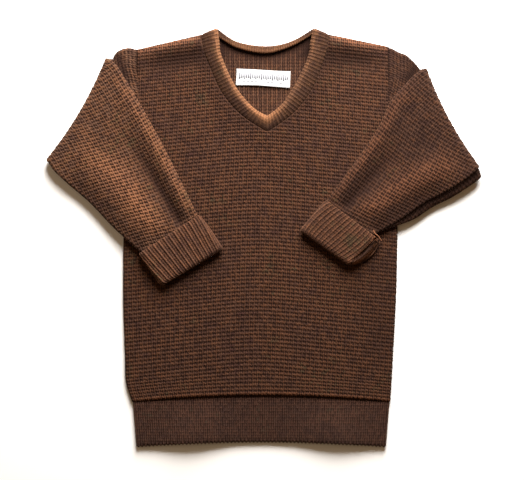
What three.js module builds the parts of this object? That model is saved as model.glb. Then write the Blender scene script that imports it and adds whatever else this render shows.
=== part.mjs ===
// A child's V-neck pullover in brown waffle-knit wool, lying flat on its back. Both sleeves are
// folded in over the front, and both ribbed cuffs are turned back.
// Frame: millimetres, +Z up, +Y towards the neck. The origin is on the surface that the pullover
// lies on, under the middle of its bounding box. Left is -X and right is +X, seen from above.
import * as THREE from "three";

// Cloth
const CLOTH = 2.6; // thickness of the waffle knit
const RIB = 2.2; // thickness of the ribbing
const GAP = 0.3; // between two layers, and at each seam
const HOLLOW = 0.15; // half of the space left inside a flattened tube
const FRONT_Z = CLOTH + GAP; // underside of the front where it lies on the back
const TUBE = (2 * CLOTH + GAP) / 2; // half the height of a flattened sleeve

// Body outline
const LEFT_ARMHOLE = [[-146, 50], [-139.5, 98], [-135.6, 148], [-134.6, 197.5]];
const RIGHT_ARMHOLE = [[140, 45], [134.6, 96], [131.4, 148], [130.8, 200.5]];
const LEFT_SIDE = [[-138, -173], [-145.5, -130], [-148.8, -65], [-148.4, 0], ...LEFT_ARMHOLE];
const RIGHT_SIDE = [[132.5, -173], [135.2, -125], [138.6, -60], [139.8, 0], ...RIGHT_ARMHOLE];
const MIDDLE_X = -3;
const HEM_SEAM = { top: -166, drop: 7, half: 135.2 }; // an arch: its top, and its drop at half-length
const LEFT_NECK_BASE = [-66, 213.5];
const RIGHT_NECK_BASE = [67, 213.8];
const FRONT_LOFT = 1.5; // how far the front stands off the back in the middle
const SHOULDER_ROLL = 3; // height of the soft roll below each shoulder seam
const SHOULDER_ROLL_AT = 6; // its crest, measured down from the seam
const SHOULDER_ROLL_REACH = 16;
const NECK_RISE = 2; // how much higher the front stands beside the V band
const NECK_RISE_REACH = 16;

// Neck
const V_POINT = 2.9; // x of the point of the V
const BAND_STEPS = 12; // stations along each half of the V band
const LEFT_BAND_INNER = [[V_POINT, 127.7], [-12.7, 137.3], [-31, 159.9], [-44.9, 190.4], [-47.2, 205],
  [-49, 220.5]];
const LEFT_BAND_OUTER = [[V_POINT, 111], [-24, 129], [-44.5, 153], [-58.5, 184], [-64.5, 201],
  [-66, 213.5]];
const RIGHT_BAND_INNER = [[V_POINT, 127.7], [18.7, 140.8], [34.3, 165.2], [45.7, 190.4], [48, 205],
  [50.8, 220.5]];
const RIGHT_BAND_OUTER = [[V_POINT, 111], [30, 131], [49, 155.5], [61, 185], [65.5, 201], [67, 213.8]];
// Section of the V band: share of its width from the inner edge, and height
const BAND_SECTION = [[0, 6.4], [0.06, 8.8], [0.24, 10.8], [0.55, 10.2], [1, 8.2], [1, 5.4],
  [0.6, 4.4], [0.2, 3.7], [0.04, 4.6]];
const BACK_BAND_TOP = [[-48.3, 219.2], [-29.2, 206.1], [1.3, 201.3], [27.4, 206.1], [50, 219.3]];
const BACK_BAND_LOW = [[-47.2, 209.8], [-29.2, 199.2], [1.3, 193.4], [29.1, 201], [48.6, 212.2]];
const BACK_NECK = [LEFT_NECK_BASE, ...BACK_BAND_LOW.map(([x, y]) => [x, y - 3 * GAP]),
  RIGHT_NECK_BASE];
const BACK_BAND_SECTION = [[0.02, 3], [0.2, 6], [0.5, 7.1], [0.84, 5.8], [0.98, 3], [0.84, 0.4],
  [0.2, 0.4]];

// Hem
const HEM_EDGE = { top: -214.9, drop: 5, half: 131.4 };
const HEM_TUCK = 2.4; // how much narrower the ribbing is than the body, each side, at the seam
const HEM_WAVES = [[-77, 34], [75, 36]]; // where the edge lifts off the surface: x and half-length
const HEM_LIFT_BACK = 2.4;
const HEM_LIFT_FRONT = 4.8;

// Label
const LABEL = { width: 57, height: 17.5, thick: 0.6, x: -0.3, y: 167.4, tilt: -2.4, lift: 1.0 };

// Sleeves: the edges of each flattened tube in plan. Each starts at the armhole, runs on the
// surface to the fold, goes round it, and comes back over the front to the cuff.
const FOLD_Z = 6.4; // height of the axis that the sleeve folds round
const SLEEVES = {
  left: {
    armhole: LEFT_ARMHOLE,
    underTop: [[-135.1, 197.4], [-143, 198], [-151, 194.4], [-158.5, 184.5]],
    underLow: [[-146.5, 50], [-171.8, 58], [-197.1, 66], [-222.5, 74]],
    overTop: [[-158.5, 184.5], [-142, 158.7], [-125.5, 130.8], [-99.3, 81.4]],
    overLow: [[-222.5, 74], [-202.5, 55.5], [-180.5, 34.5], [-157, 8]],
    foldOut: [-0.867, 0.4985],
    bow: 5.5, // how far the middle of the fold is drawn in
    step: 0, // how far the lower layer shows past the upper one along the low edge
    ridge: 0.66, // where the long soft ridge runs, as a share of the width
    cuffInner: [[-68, 24], [-42.5, -11]],
    cuffOuter: [[-132, -17.5], [-109, -51]],
    cuffRoom: [3.6, 3.4], // from the cuff's two edges in to those of the sleeve tucked into it
  },
  right: {
    armhole: RIGHT_ARMHOLE,
    underTop: [[131.3, 200.4], [141.4, 195], [150, 191.3], [163.5, 178.2]],
    underLow: [[140.5, 45], [167.5, 54], [195, 62], [222.35, 69]],
    overTop: [[163.5, 178.2], [147.4, 159.6], [132.4, 141.4], [113.3, 103.3]],
    overLow: [[222.35, 69], [191, 47], [166.5, 33.5], [143.3, 16.5]],
    foldOut: [0.891, 0.453],
    bow: 5,
    step: 8.5,
    ridge: 0.7,
    cuffInner: [[64.4, 39.4], [36.5, 8]],
    cuffOuter: [[127, -3], [95.5, -32]],
    cuffRoom: [3.6, 7.4],
  },
};
const SLEEVE_RIDGE = 2.6; // height of the long ridge
const EDGE_RIDGE = 1.6; // height of the roll along the top edge
const CUFF_Z = 12.6; // height of the middle of the cuff
const CUFF_OVERLAP = 3; // how far the turned-back edge covers the sleeve

// Materials
const WOOL = new THREE.MeshStandardMaterial({ color: 0x60402f, roughness: 0.95, metalness: 0 });
const RIBBING = new THREE.MeshStandardMaterial({ color: 0x5c3d2e, roughness: 0.95, metalness: 0 });
const LABEL_TAPE = new THREE.MeshStandardMaterial({ color: 0xf2f0ec, roughness: 0.6, metalness: 0 });

const clamp01 = (t) => Math.min(1, Math.max(0, t));
const smooth = (t) => clamp01(t) ** 2 * (3 - 2 * clamp01(t));
const bump = (t) => Math.exp(-t * t);
const steps = (n) => Array.from({ length: n + 1 }, (_, i) => i / n);
const plan = (points) => new THREE.SplineCurve(points.map(([x, y]) => new THREE.Vector2(x, y)));

// A geometry from points, quads and triangles, with its faces turned outwards.
function closedGeometry(points, quads, triangles = []) {
  const index = [...quads.flatMap(([a, b, c, d]) => [a, b, c, a, c, d]), ...triangles.flat()];
  let volume = 0;
  for (let i = 0; i < index.length; i += 3) {
    const [a, b, c] = [points[index[i]], points[index[i + 1]], points[index[i + 2]]];
    volume += a.dot(new THREE.Vector3().crossVectors(b, c));
  }
  if (volume < 0) index.reverse();
  const geometry = new THREE.BufferGeometry().setFromPoints(points).setIndex(index);
  geometry.computeVertexNormals();
  return geometry;
}

// A sheet with two faces, each a grid of the same rows and columns, and a wall all round.
function sheet(upper, lower) {
  const [rows, columns] = [upper.length, upper[0].length];
  const at = (face, j, i) => face * rows * columns + j * columns + i;
  const quads = [];
  for (let j = 0; j + 1 < rows; j++)
    for (let i = 0; i + 1 < columns; i++) {
      quads.push([at(0, j, i), at(0, j, i + 1), at(0, j + 1, i + 1), at(0, j + 1, i)]);
      quads.push([at(1, j, i), at(1, j + 1, i), at(1, j + 1, i + 1), at(1, j, i + 1)]);
    }
  for (let i = 0; i + 1 < columns; i++) {
    quads.push([at(0, 0, i + 1), at(0, 0, i), at(1, 0, i), at(1, 0, i + 1)]);
    quads.push([at(0, rows - 1, i), at(0, rows - 1, i + 1), at(1, rows - 1, i + 1), at(1, rows - 1, i)]);
  }
  for (let j = 0; j + 1 < rows; j++) {
    quads.push([at(0, j, 0), at(0, j + 1, 0), at(1, j + 1, 0), at(1, j, 0)]);
    quads.push([at(0, j + 1, columns - 1), at(0, j, columns - 1), at(1, j, columns - 1),
      at(1, j + 1, columns - 1)]);
  }
  return closedGeometry([...upper.flat(), ...lower.flat()], quads);
}

// The quads between closed loops of the same length, and on from the last to the first if closed.
function skin(loops, closed) {
  const n = loops[0].length;
  const quads = [];
  for (let k = 0; k < (closed ? loops.length : loops.length - 1); k++)
    for (let i = 0; i < n; i++) {
      const [a, b] = [k * n, ((k + 1) % loops.length) * n];
      quads.push([a + i, a + ((i + 1) % n), b + ((i + 1) % n), b + i]);
    }
  return quads;
}

// A ring-shaped solid: the last loop joins the first again.
const ring = (loops) => closedGeometry(loops.flat(), skin(loops, true));

// A bar: its section at each station, with both ends capped from a middle point.
function bar(stations) {
  const points = stations.flat();
  const n = stations[0].length;
  const caps = [];
  for (const [k, ahead, behind] of [[0, 1, 0], [stations.length - 1, 0, 1]]) {
    const middle = stations[k].reduce((sum, p) => sum.add(p), new THREE.Vector3()).divideScalar(n);
    points.push(middle);
    for (let i = 0; i < n; i++)
      caps.push([k * n + ((i + ahead) % n), k * n + ((i + behind) % n), points.length - 1]);
  }
  return closedGeometry(points, skin(stations, false), caps);
}

// Where a side or shoulder line is at a height y, or a hem or neck line at a place x.
function along(curve, key, value) {
  let [low, high] = [0, 1];
  const rising = curve.getPoint(1)[key] > curve.getPoint(0)[key];
  for (let i = 0; i < 30; i++) {
    const middle = (low + high) / 2;
    if (curve.getPoint(middle)[key] < value === rising) low = middle;
    else high = middle;
  }
  return curve.getPoint((low + high) / 2);
}

// The height y of an arch at a place x.
const archY = ({ top, drop, half }, x) => top - drop * ((x - MIDDLE_X) / half) ** 2;

const leftSide = plan(LEFT_SIDE);
const rightSide = plan(RIGHT_SIDE);
const neckEdge = [LEFT_BAND_OUTER, RIGHT_BAND_OUTER].flatMap((edge) => plan(edge).getPoints(30));
const neckDistance = (x, y) => Math.min(...neckEdge.map((p) => Math.hypot(p.x - x, p.y - y)));

// Height of the shoulder line over x, which the soft roll below it follows.
function shoulderY(x) {
  const [tip, base] = x < 0 ? [LEFT_SIDE.at(-1), LEFT_NECK_BASE] : [RIGHT_SIDE.at(-1), RIGHT_NECK_BASE];
  const t = (x - base[0]) / (tip[0] - base[0]);
  return base[1] + t * (tip[1] - base[1]);
}

// How far the front stands off the back: a soft crown, which rises beside the V band, and a roll
// below each shoulder seam.
function frontLift(x, y) {
  const [left, right] = [along(leftSide, "y", y).x, along(rightSide, "y", y).x];
  const across = clamp01((x - left) / (right - left)) * 2 - 1;
  const down = shoulderY(x) - y;
  const rise = NECK_RISE * bump(neckDistance(x, y) / NECK_RISE_REACH);
  const crown = (FRONT_LOFT * (1 - across ** 4) + rise) * smooth(down / SHOULDER_ROLL_REACH);
  const roll = SHOULDER_ROLL * smooth(down / SHOULDER_ROLL_AT) *
    bump(Math.max(0, down - SHOULDER_ROLL_AT) / (SHOULDER_ROLL_REACH - SHOULDER_ROLL_AT));
  return crown + roll * (1 - across ** 8);
}

// The front: two halves that share the middle line up to the V, each from there to its side.
function frontPanel() {
  const [below, above, columns] = [12, BAND_STEPS, 8];
  const middle = new THREE.LineCurve(new THREE.Vector2(MIDDLE_X, HEM_SEAM.top),
    new THREE.Vector2(V_POINT, LEFT_BAND_OUTER[0][1] - 1.2 * GAP));
  const rowShare = 0.7; // share of the side below the point of the V
  const row = (side, neck, t) => {
    const inner = t <= 1 ? middle.getPoint(t) : neck.getPoint(t - 1);
    const outer = side.getPoint(t <= 1 ? t * rowShare : rowShare + (t - 1) * (1 - rowShare));
    const [end, start] = [side.getPoint(0), middle.getPoint(0)];
    return steps(columns).map((u) => {
      const p = new THREE.Vector2().lerpVectors(outer, inner, u);
      const bottom = new THREE.Vector2().lerpVectors(end, start, u);
      p.y += Math.max(0, 1 - t) * (archY(HEM_SEAM, bottom.x) - bottom.y);
      return p;
    });
  };
  // The edge of the V band, moved out by the gap.
  const neckEdge = (points, out) => ({
    getPoint: (t) => {
      const edge = plan(points);
      const run = edge.getTangent(t);
      const away = t === 0 ? new THREE.Vector2(0, -1) : new THREE.Vector2(out * run.y, -out * run.x);
      return edge.getPoint(t).addScaledVector(away, 1.2 * GAP);
    },
  });
  const leftNeck = neckEdge(LEFT_BAND_OUTER, -1);
  const rightNeck = neckEdge(RIGHT_BAND_OUTER, 1);
  const levels = [...steps(below), ...steps(above).slice(1).map((t) => t + 1)];
  const left = levels.map((t) => row(leftSide, leftNeck, t));
  const right = levels.map((t) => row(rightSide, rightNeck, t));
  const rise = (z) => (p) => new THREE.Vector3(p.x, p.y, FRONT_Z + frontLift(p.x, p.y) + z);
  const width = columns + 1;
  const total = levels.length * width;
  const faces = [CLOTH, 0].flatMap((z) => [left, right].map((half) => half.flat().map(rise(z))));
  const points = faces.flat();
  const at = (face, half, j, i) =>
    half === 1 && i === columns && j <= below
      ? face * 2 * total + j * width + i
      : (face * 2 + half) * total + j * width + i;
  const quads = [];
  for (const half of [0, 1]) {
    const face = (a, b, c, d) => quads.push(half === 0 ? [a, b, c, d] : [d, c, b, a]);
    for (let j = 0; j + 1 < levels.length; j++)
      for (let i = 0; i < columns; i++) {
        face(at(0, half, j, i), at(0, half, j, i + 1), at(0, half, j + 1, i + 1), at(0, half, j + 1, i));
        face(at(1, half, j + 1, i), at(1, half, j + 1, i + 1), at(1, half, j, i + 1), at(1, half, j, i));
      }
    for (let i = 0; i < columns; i++) {
      const last = levels.length - 1;
      face(at(1, half, 0, i), at(1, half, 0, i + 1), at(0, half, 0, i + 1), at(0, half, 0, i));
      face(at(0, half, last, i), at(0, half, last, i + 1), at(1, half, last, i + 1), at(1, half, last, i));
    }
    for (let j = 0; j + 1 < levels.length; j++) {
      face(at(0, half, j, 0), at(0, half, j + 1, 0), at(1, half, j + 1, 0), at(1, half, j, 0));
      if (j >= below)
        face(at(1, half, j, columns), at(1, half, j + 1, columns), at(0, half, j + 1, columns),
          at(0, half, j, columns));
    }
  }
  return compact(points, quads);
}

// Drops the points that no face uses.
function compact(points, quads) {
  const used = [...new Set(quads.flat())];
  const place = new Map(used.map((old, i) => [old, i]));
  return closedGeometry(used.map((i) => points[i]), quads.map((q) => q.map((i) => place.get(i))));
}

// The back: one grid from the hem seam to the shoulders and the back of the neck.
function backPanel() {
  const [rows, columns] = [10, 26];
  const neck = plan(BACK_NECK);
  const topPoint = (x) => {
    if (x < LEFT_NECK_BASE[0] || x > RIGHT_NECK_BASE[0]) return new THREE.Vector2(x, shoulderY(x));
    return along(neck, "x", x);
  };
  const [tipLeft, tipRight] = [LEFT_SIDE.at(-1)[0], RIGHT_SIDE.at(-1)[0]];
  const [hemLeft, hemRight] = [LEFT_SIDE[0][0], RIGHT_SIDE[0][0]];
  const grid = steps(rows).map((v) => steps(columns).map((u) => {
    const low = archY(HEM_SEAM, hemLeft + u * (hemRight - hemLeft));
    const top = topPoint(tipLeft + u * (tipRight - tipLeft));
    const y = low + v * (top.y - low);
    const [left, right] = [along(leftSide, "y", y), along(rightSide, "y", y)];
    return new THREE.Vector2(left.x + u * (right.x - left.x), y);
  }));
  const face = (z) => grid.map((line) => line.map((p) => new THREE.Vector3(p.x, p.y, z)));
  return sheet(face(CLOTH), face(0));
}

// How far the hem edge is lifted at a place x, from 0 to 1.
const hemWave = (x) => HEM_WAVES.reduce((sum, [at, half]) => sum + bump((x - at) / half), 0);

// The ribbed hem of the front or the back, from the seam down to its edge.
function hemRib(base, lift) {
  const [rows, columns] = [4, 24];
  const [tuckLeft, tuckRight] = [LEFT_SIDE[0][0] + HEM_TUCK, RIGHT_SIDE[0][0] - HEM_TUCK];
  const grid = steps(rows).map((v) => steps(columns).map((u) => {
    const seamX = tuckLeft + u * (tuckRight - tuckLeft);
    const edgeX = MIDDLE_X + (2 * u - 1) * HEM_EDGE.half;
    const x = seamX + v * (edgeX - seamX);
    const y = archY(HEM_SEAM, seamX) - 2 * GAP + v * (archY(HEM_EDGE, edgeX) - archY(HEM_SEAM, seamX));
    return new THREE.Vector3(x, y, base + lift * hemWave(x) * smooth(v));
  }));
  const raised = grid.map((line) => line.map((p) => p.clone().add(new THREE.Vector3(0, 0, RIB))));
  return sheet(raised, grid);
}

// Half of the V band: its section between the inner and outer edge lines.
function vBand(innerEdge, outerEdge, side) {
  const [inner, outer] = [plan(innerEdge), plan(outerEdge)];
  return bar(steps(BAND_STEPS).map((t) => BAND_SECTION.map(([share, z]) => {
    const p = new THREE.Vector2().lerpVectors(inner.getPoint(t), outer.getPoint(t), share);
    const mitre = side * GAP * 0.5 * bump(t * 8);
    return new THREE.Vector3(p.x + mitre, p.y, z);
  })));
}

function backBand() {
  const [top, low] = [plan(BACK_BAND_TOP), plan(BACK_BAND_LOW)];
  return bar(steps(12).map((t) => BACK_BAND_SECTION.map(([share, z]) => {
    const p = new THREE.Vector2().lerpVectors(top.getPoint(t), low.getPoint(t), share);
    return new THREE.Vector3(p.x, p.y, z);
  })));
}

function label() {
  const { width, height, thick, x, y, tilt, lift } = LABEL;
  const turn = THREE.MathUtils.degToRad(tilt);
  const middle = new THREE.Vector2(x, y);
  const face = (up) => steps(3).map((v) => steps(8).map((u) => {
    const p = new THREE.Vector2((u - 0.5) * width, (0.5 - v) * height).rotateAround(
      new THREE.Vector2(), turn).add(middle);
    const stand = lift * smooth(v) * Math.sin(Math.PI * u);
    return new THREE.Vector3(p.x, p.y, CLOTH + GAP + stand + up);
  }));
  return sheet(face(thick), face(0));
}

// A closed loop round a flattened tube. core(share) is a point on the tube's middle line across its
// width, out is the direction of its thickness, half its half-height, and step how far the lower
// layer reaches past the upper one at the far end.
function tubeLoop(core, out, half, step = 0) {
  const [spans, turns] = [6, 4];
  const [first, last] = [core(0), core(1)];
  const across = new THREE.Vector3().subVectors(last, first).normalize();
  const point = (base, side, up) => base.clone().addScaledVector(across, side).addScaledVector(out, up);
  const loop = [];
  for (let i = 1; i < spans; i++) loop.push(point(core(i / spans), 0, half));
  for (let i = 0; i <= turns; i++) {
    const angle = Math.PI * (0.5 - i / turns);
    const past = step * smooth((0.3 - Math.sin(angle)) / 0.9);
    loop.push(point(last, half * Math.cos(angle) + past, half * Math.sin(angle)));
  }
  for (let i = spans - 1; i > 0; i--) loop.push(point(core(i / spans), 0, -half));
  for (let i = 0; i <= turns; i++) {
    const angle = Math.PI * (-0.5 - i / turns);
    loop.push(point(first, half * Math.cos(angle), half * Math.sin(angle)));
  }
  return loop;
}

// The two corners of a sleeve's end, which is tucked into the cuff.
function tuckedEnd(s) {
  const [inner, outer] = [s.cuffInner, s.cuffOuter].map(([from, to]) => {
    const start = new THREE.Vector2(...from);
    return start.add(new THREE.Vector2(...to).sub(start).setLength(CUFF_OVERLAP));
  });
  const across = new THREE.Vector2().subVectors(outer, inner).normalize();
  inner.addScaledVector(across, s.cuffRoom[0]);
  outer.addScaledVector(across, -s.cuffRoom[1]);
  return [inner.toArray(), outer.toArray()];
}

// The stations of a sleeve: the line across the tube, the way its outer side faces, and the lower
// layer's reach.
function sleeveStations(s) {
  const radius = FOLD_Z - TUBE;
  const foldOut = new THREE.Vector3(s.foldOut[0], s.foldOut[1], 0);
  const hole = plan(s.armhole);
  const [holeLow, holeTop] = [hole.getPoint(0), hole.getPoint(1)];
  // How far the armhole stands inside the straight line between its ends.
  const holeCurve = (share) => hole.getPoint(1 - share).x -
    (holeTop.x + share * (holeLow.x - holeTop.x));
  const line = (top, low, t, lift, out, bow, reach, hollow = 0) => {
    const [a, b] = [top.getPoint(t), low.getPoint(t)];
    const inset = new THREE.Vector2().subVectors(b, a).normalize().multiplyScalar(TUBE);
    a.add(inset);
    b.sub(inset);
    return {
      core: (share) => {
        const p = new THREE.Vector2().lerpVectors(a, b, share);
        const drawn = -bow * 4 * share * (1 - share);
        return new THREE.Vector3(p.x + hollow * holeCurve(share), p.y, 0)
          .addScaledVector(foldOut, drawn)
          .add(lift(share));
      },
      out,
      reach,
    };
  };
  const up = (z) => new THREE.Vector3(0, 0, z);
  const [underTop, underLow] = [plan(s.underTop), plan(s.underLow)];
  const [endTop, endLow] = tuckedEnd(s);
  const [overTop, overLow] = [plan([...s.overTop, endTop]), plan([...s.overLow, endLow])];
  const stations = [];
  for (const t of steps(5).slice(0, -1))
    stations.push(line(underTop, underLow, t, () => up(TUBE), up(-1), s.bow * t * t, 0, (1 - t) ** 2));
  for (const t of steps(6)) {
    const angle = Math.PI * t;
    const out = foldOut.clone().multiplyScalar(Math.sin(angle)).add(up(-Math.cos(angle)));
    const moved = out.clone().multiplyScalar(radius).add(up(FOLD_Z));
    stations.push(line(overTop, overLow, 0, () => moved, out, s.bow, s.step * smooth(t)));
  }
  for (const t of steps(12).slice(1)) {
    const rise = (CUFF_Z - FOLD_Z - radius) * smooth((t - 0.45) / 0.5);
    const swell = smooth(t * 3) * (1 - smooth((t - 0.8) / 0.2));
    const lift = (share) => up(FOLD_Z + radius + rise + swell *
      (SLEEVE_RIDGE * bump((share - s.ridge) / 0.2) + EDGE_RIDGE * bump((share - 0.04) / 0.1)));
    stations.push(line(overTop, overLow, t, lift, up(1), s.bow * (1 - t) ** 4,
      s.step * (1 - smooth((t - 0.5) / 0.45))));
  }
  return stations;
}

// A sleeve: a wall from its outer skin to its inner one, with both ends of the tube open.
function sleeve(s) {
  const stations = sleeveStations(s);
  const outer = stations.map(({ core, out, reach }) => tubeLoop(core, out, TUBE, reach));
  const inner = stations.map(({ core, out, reach }) => tubeLoop(core, out, HOLLOW, reach));
  return ring([...outer, ...inner.reverse()]);
}

// A cuff: ribbing that carries on from the sleeve, turned back over itself.
function cuff(s) {
  const [innerTop, innerEnd] = s.cuffInner.map(([x, y]) => new THREE.Vector3(x, y, CUFF_Z));
  const [outerTop, outerEnd] = s.cuffOuter.map(([x, y]) => new THREE.Vector3(x, y, CUFF_Z));
  const length = (innerTop.distanceTo(innerEnd) + outerTop.distanceTo(outerEnd)) / 2;
  const seam = (CUFF_OVERLAP + GAP) / length;
  const turned = HOLLOW + RIB + GAP; // inner half-height of the turned-back layer
  const outside = turned + RIB;
  const flare = TUBE + GAP - turned; // it widens where it covers the sleeve
  const bend = 1.2 / length;
  const profile = [
    [seam, HOLLOW], [0.5, HOLLOW], [1 - bend, HOLLOW + 0.2], [1, HOLLOW + RIB / 2],
    [1 + bend / 2, (turned + HOLLOW + RIB) / 2], [1, outside - RIB / 2], [1 - bend, outside],
    [0.5, outside], [seam * 2, outside + flare], [0, outside + flare],
    [0, turned + flare], [seam * 2, turned + flare], [0.5, turned], [1 - 2 * bend, turned - GAP / 2],
    [0.5, HOLLOW + RIB], [seam, HOLLOW + RIB],
  ];
  const up = new THREE.Vector3(0, 0, 1);
  const rings = profile.map(([t, half]) => {
    const a = new THREE.Vector3().lerpVectors(innerTop, innerEnd, t);
    const b = new THREE.Vector3().lerpVectors(outerTop, outerEnd, t);
    const inset = new THREE.Vector3().subVectors(b, a).setLength(outside + flare);
    a.add(inset);
    b.sub(inset);
    return tubeLoop((share) => new THREE.Vector3().lerpVectors(a, b, share), up, half);
  });
  return ring(rings);
}

const sweater = new THREE.Group();

function add(name, geometry, material) {
  const mesh = new THREE.Mesh(geometry, material);
  mesh.name = name;
  sweater.add(mesh);
}

add("back_panel", backPanel(), WOOL);
add("front_panel", frontPanel(), WOOL);
add("hem_rib_back", hemRib(0, HEM_LIFT_BACK), RIBBING);
add("hem_rib_front", hemRib(RIB + GAP, HEM_LIFT_FRONT), RIBBING);
add("neckband_front_left", vBand(LEFT_BAND_INNER, LEFT_BAND_OUTER, -1), RIBBING);
add("neckband_front_right", vBand(RIGHT_BAND_INNER, RIGHT_BAND_OUTER, 1), RIBBING);
add("neckband_back", backBand(), RIBBING);
add("label", label(), LABEL_TAPE);
for (const [side, shape] of Object.entries(SLEEVES)) {
  add(`sleeve_${side}`, sleeve(shape), WOOL);
  add(`cuff_${side}`, cuff(shape), RIBBING);
}

export default sweater;
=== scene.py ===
"""A child's V-neck pullover in brown waffle-knit wool, laid flat with its sleeves folded in.

Every piece of knitting is a closed shell on the form of its CAD solid. Rows and ribs stand out in the
mesh, and the single stitches are bump and colour worked out from the attribute "knit": stitches across,
rows along, and how much painted shade the place has, where a value below 0 is a painted highlight.
Lengths in this script are in millimetres and turn into metres where a mesh is made.
"""

import math

import bmesh
import bpy
import numpy as np
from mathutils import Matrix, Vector


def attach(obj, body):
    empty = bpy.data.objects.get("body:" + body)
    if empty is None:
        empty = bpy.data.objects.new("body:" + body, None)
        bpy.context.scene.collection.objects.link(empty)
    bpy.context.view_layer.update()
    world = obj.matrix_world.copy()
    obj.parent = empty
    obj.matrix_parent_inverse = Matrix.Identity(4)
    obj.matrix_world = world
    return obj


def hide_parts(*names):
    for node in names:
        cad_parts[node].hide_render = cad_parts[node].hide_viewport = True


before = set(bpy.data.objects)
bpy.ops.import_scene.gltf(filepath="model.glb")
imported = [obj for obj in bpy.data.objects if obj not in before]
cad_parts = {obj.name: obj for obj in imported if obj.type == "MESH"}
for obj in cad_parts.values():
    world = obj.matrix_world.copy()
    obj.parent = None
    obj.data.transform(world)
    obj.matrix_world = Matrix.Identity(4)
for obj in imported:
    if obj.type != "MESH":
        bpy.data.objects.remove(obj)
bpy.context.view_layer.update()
MM = 0.001

# Cloth
CLOTH = 2.6
RIB = 2.2
GAP = 0.3
FRONT_Z = CLOTH + GAP
TUBE = (2 * CLOTH + GAP) / 2
HOLLOW = 0.15

# Gauge of the knitting
WALE = 4.7  # across one stitch of the waffle knit
ROW = 3.95  # from ridge to ridge
BODY_WALES = 60
SAMPLES = 4  # mesh columns to a stitch, and mesh rows to a ridge
NO_EDGE = 99  # stands for a distance where there is no edge
RELIEF = 0.62  # from the bottom of a hole to the top of a ridge
HIDDEN_STEP = 8  # a hidden side keeps one mesh line in so many
HEM_RIB_PITCH = 2.28
INSIDE_RIB_PITCH = 4.9

# Body outline, as in the CAD
LEFT_ARMHOLE = [[-146, 50], [-139.5, 98], [-135.6, 148], [-134.6, 197.5]]
RIGHT_ARMHOLE = [[140, 45], [134.6, 96], [131.4, 148], [130.8, 200.5]]
LEFT_SIDE = [[-139.5, -173], [-146, -152], [-147, -125], [-148.8, -65], [-148.4, 0], *LEFT_ARMHOLE]
RIGHT_SIDE = [[132.5, -173], [135.2, -125], [138.6, -60], [139.8, 0], *RIGHT_ARMHOLE]
MIDDLE_X = -3
HEM_SEAM = {"top": -166, "drop": 7, "half": 135.2}
HEM_EDGE = {"top": -214.9, "drop": 5, "half": 131.4}
HEM_TUCK = 1
HEM_BEAD_PITCH = 3.9
HEM_WAVES = [(-77, 34), (75, 36)]
HEM_LIFT_BACK = 2.4
HEM_LIFT_FRONT = 4.8
LEFT_NECK_BASE = [-66, 213.5]
RIGHT_NECK_BASE = [67, 213.8]
FRONT_TOP = 214.4
FRONT_LOFT = 1.5
SHOULDER_ROLL = 3
SHOULDER_ROLL_AT = 6
SHOULDER_ROLL_REACH = 16
FRONT_HOLLOWS = [(1.4, -92, 187, 0.1, 13), (1.3, 91, 188, 0, 12)]  # depth, x, y, slant, reach in y
NECK_CORNERS = [(-46, 204, 15), (46, 203, 16)]  # x, y and reach of the painted shade in the corners inside the neck
HEM_CREASE_SHADE = {"x": -73, "y": -204.5, "length": 13, "fall": 9.5}
NECK_RISE = 2
NECK_RISE_REACH = 16

# Neck
V_POINT = 2.9
V_INNER_Y = 127.7
V_OUTER_Y = 111
LEFT_BAND_INNER = [[V_POINT, V_INNER_Y], [-12.7, 137.3], [-31, 159.9], [-44.9, 190.4], [-47.2, 205],
                   [-49, 220.5]]
LEFT_BAND_OUTER = [[V_POINT, V_OUTER_Y], [-24, 129], [-44.5, 153], [-58.5, 184], [-64.5, 201], [-66, 213.5]]
RIGHT_BAND_INNER = [[V_POINT, V_INNER_Y], [18.7, 140.8], [34.3, 165.2], [45.7, 190.4], [48, 205],
                    [50.8, 220.5]]
RIGHT_BAND_OUTER = [[V_POINT, V_OUTER_Y], [30, 131], [49, 155.5], [61, 185], [65.5, 201], [67, 213.8]]
BAND_SECTION = [[0, 6.4], [0.06, 8.8], [0.24, 10.8], [0.55, 10.2], [1, 8.2], [1, 5.4], [0.6, 4.4],
                [0.2, 3.7], [0.04, 4.6]]
BACK_BAND_TOP = [[-50.6, 220.3], [-29.2, 206.1], [1.3, 201.3], [27.4, 206.1], [52.4, 220.4]]
BACK_BAND_LOW = [[-49.8, 211.5], [-29.2, 199.2], [1.3, 193.4], [29.1, 201], [51.2, 213.8]]
BACK_BAND_SECTION = [[0.02, 4.4], [0.12, 6.4], [0.42, 7], [0.86, 7], [1, 5.4], [0.96, 2], [0.78, 0.4],
                     [0.2, 0.4]]
# For each band: its edge lines and section (share of the width, height), the pitch and height of its ribs,
# how far each end is rounded off, its painted shade on the outer side (a painted highlight below 0), its
# painted highlight on the inner edge, and its painted highlight at start and end (shade below 0) over a
# reach.
BANDS = {
    "left": dict(
        node="neckband_front_left", inner=LEFT_BAND_INNER, outer=LEFT_BAND_OUTER, section=BAND_SECTION,
        pitch=3.7, rib=0.14, tips=(0, 4), shade=0.55, wear_and_highlight=0.7, ends_painted_light=(0.7, 0, 45),
    ),
    "right": dict(
        node="neckband_front_right", inner=RIGHT_BAND_INNER, outer=RIGHT_BAND_OUTER,
        section=BAND_SECTION, pitch=3.7, rib=0.18, tips=(0, 4), shade=0.45, wear_and_highlight=0.2,
        ends_painted_light=(0.7, 0, 40),
    ),
    "back": dict(
        node="neckband_back", inner=BACK_BAND_TOP, outer=BACK_BAND_LOW, section=BACK_BAND_SECTION,
        pitch=2.5, rib=0.2, tips=(2, 2), shade=-0.45, wear_and_highlight=0.2, ends_painted_light=(-0.9, -0.9, 26),
    ),
}
LABEL = {"width": 57, "height": 17.5, "thick": 0.6, "x": -1.4, "y": 167.4, "tilt": -2.4, "lift": 1.0}

# Sleeves
FOLD_Z = 6.4
FOLD_RADIUS = FOLD_Z - TUBE
CUFF_Z = 12.6
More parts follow.
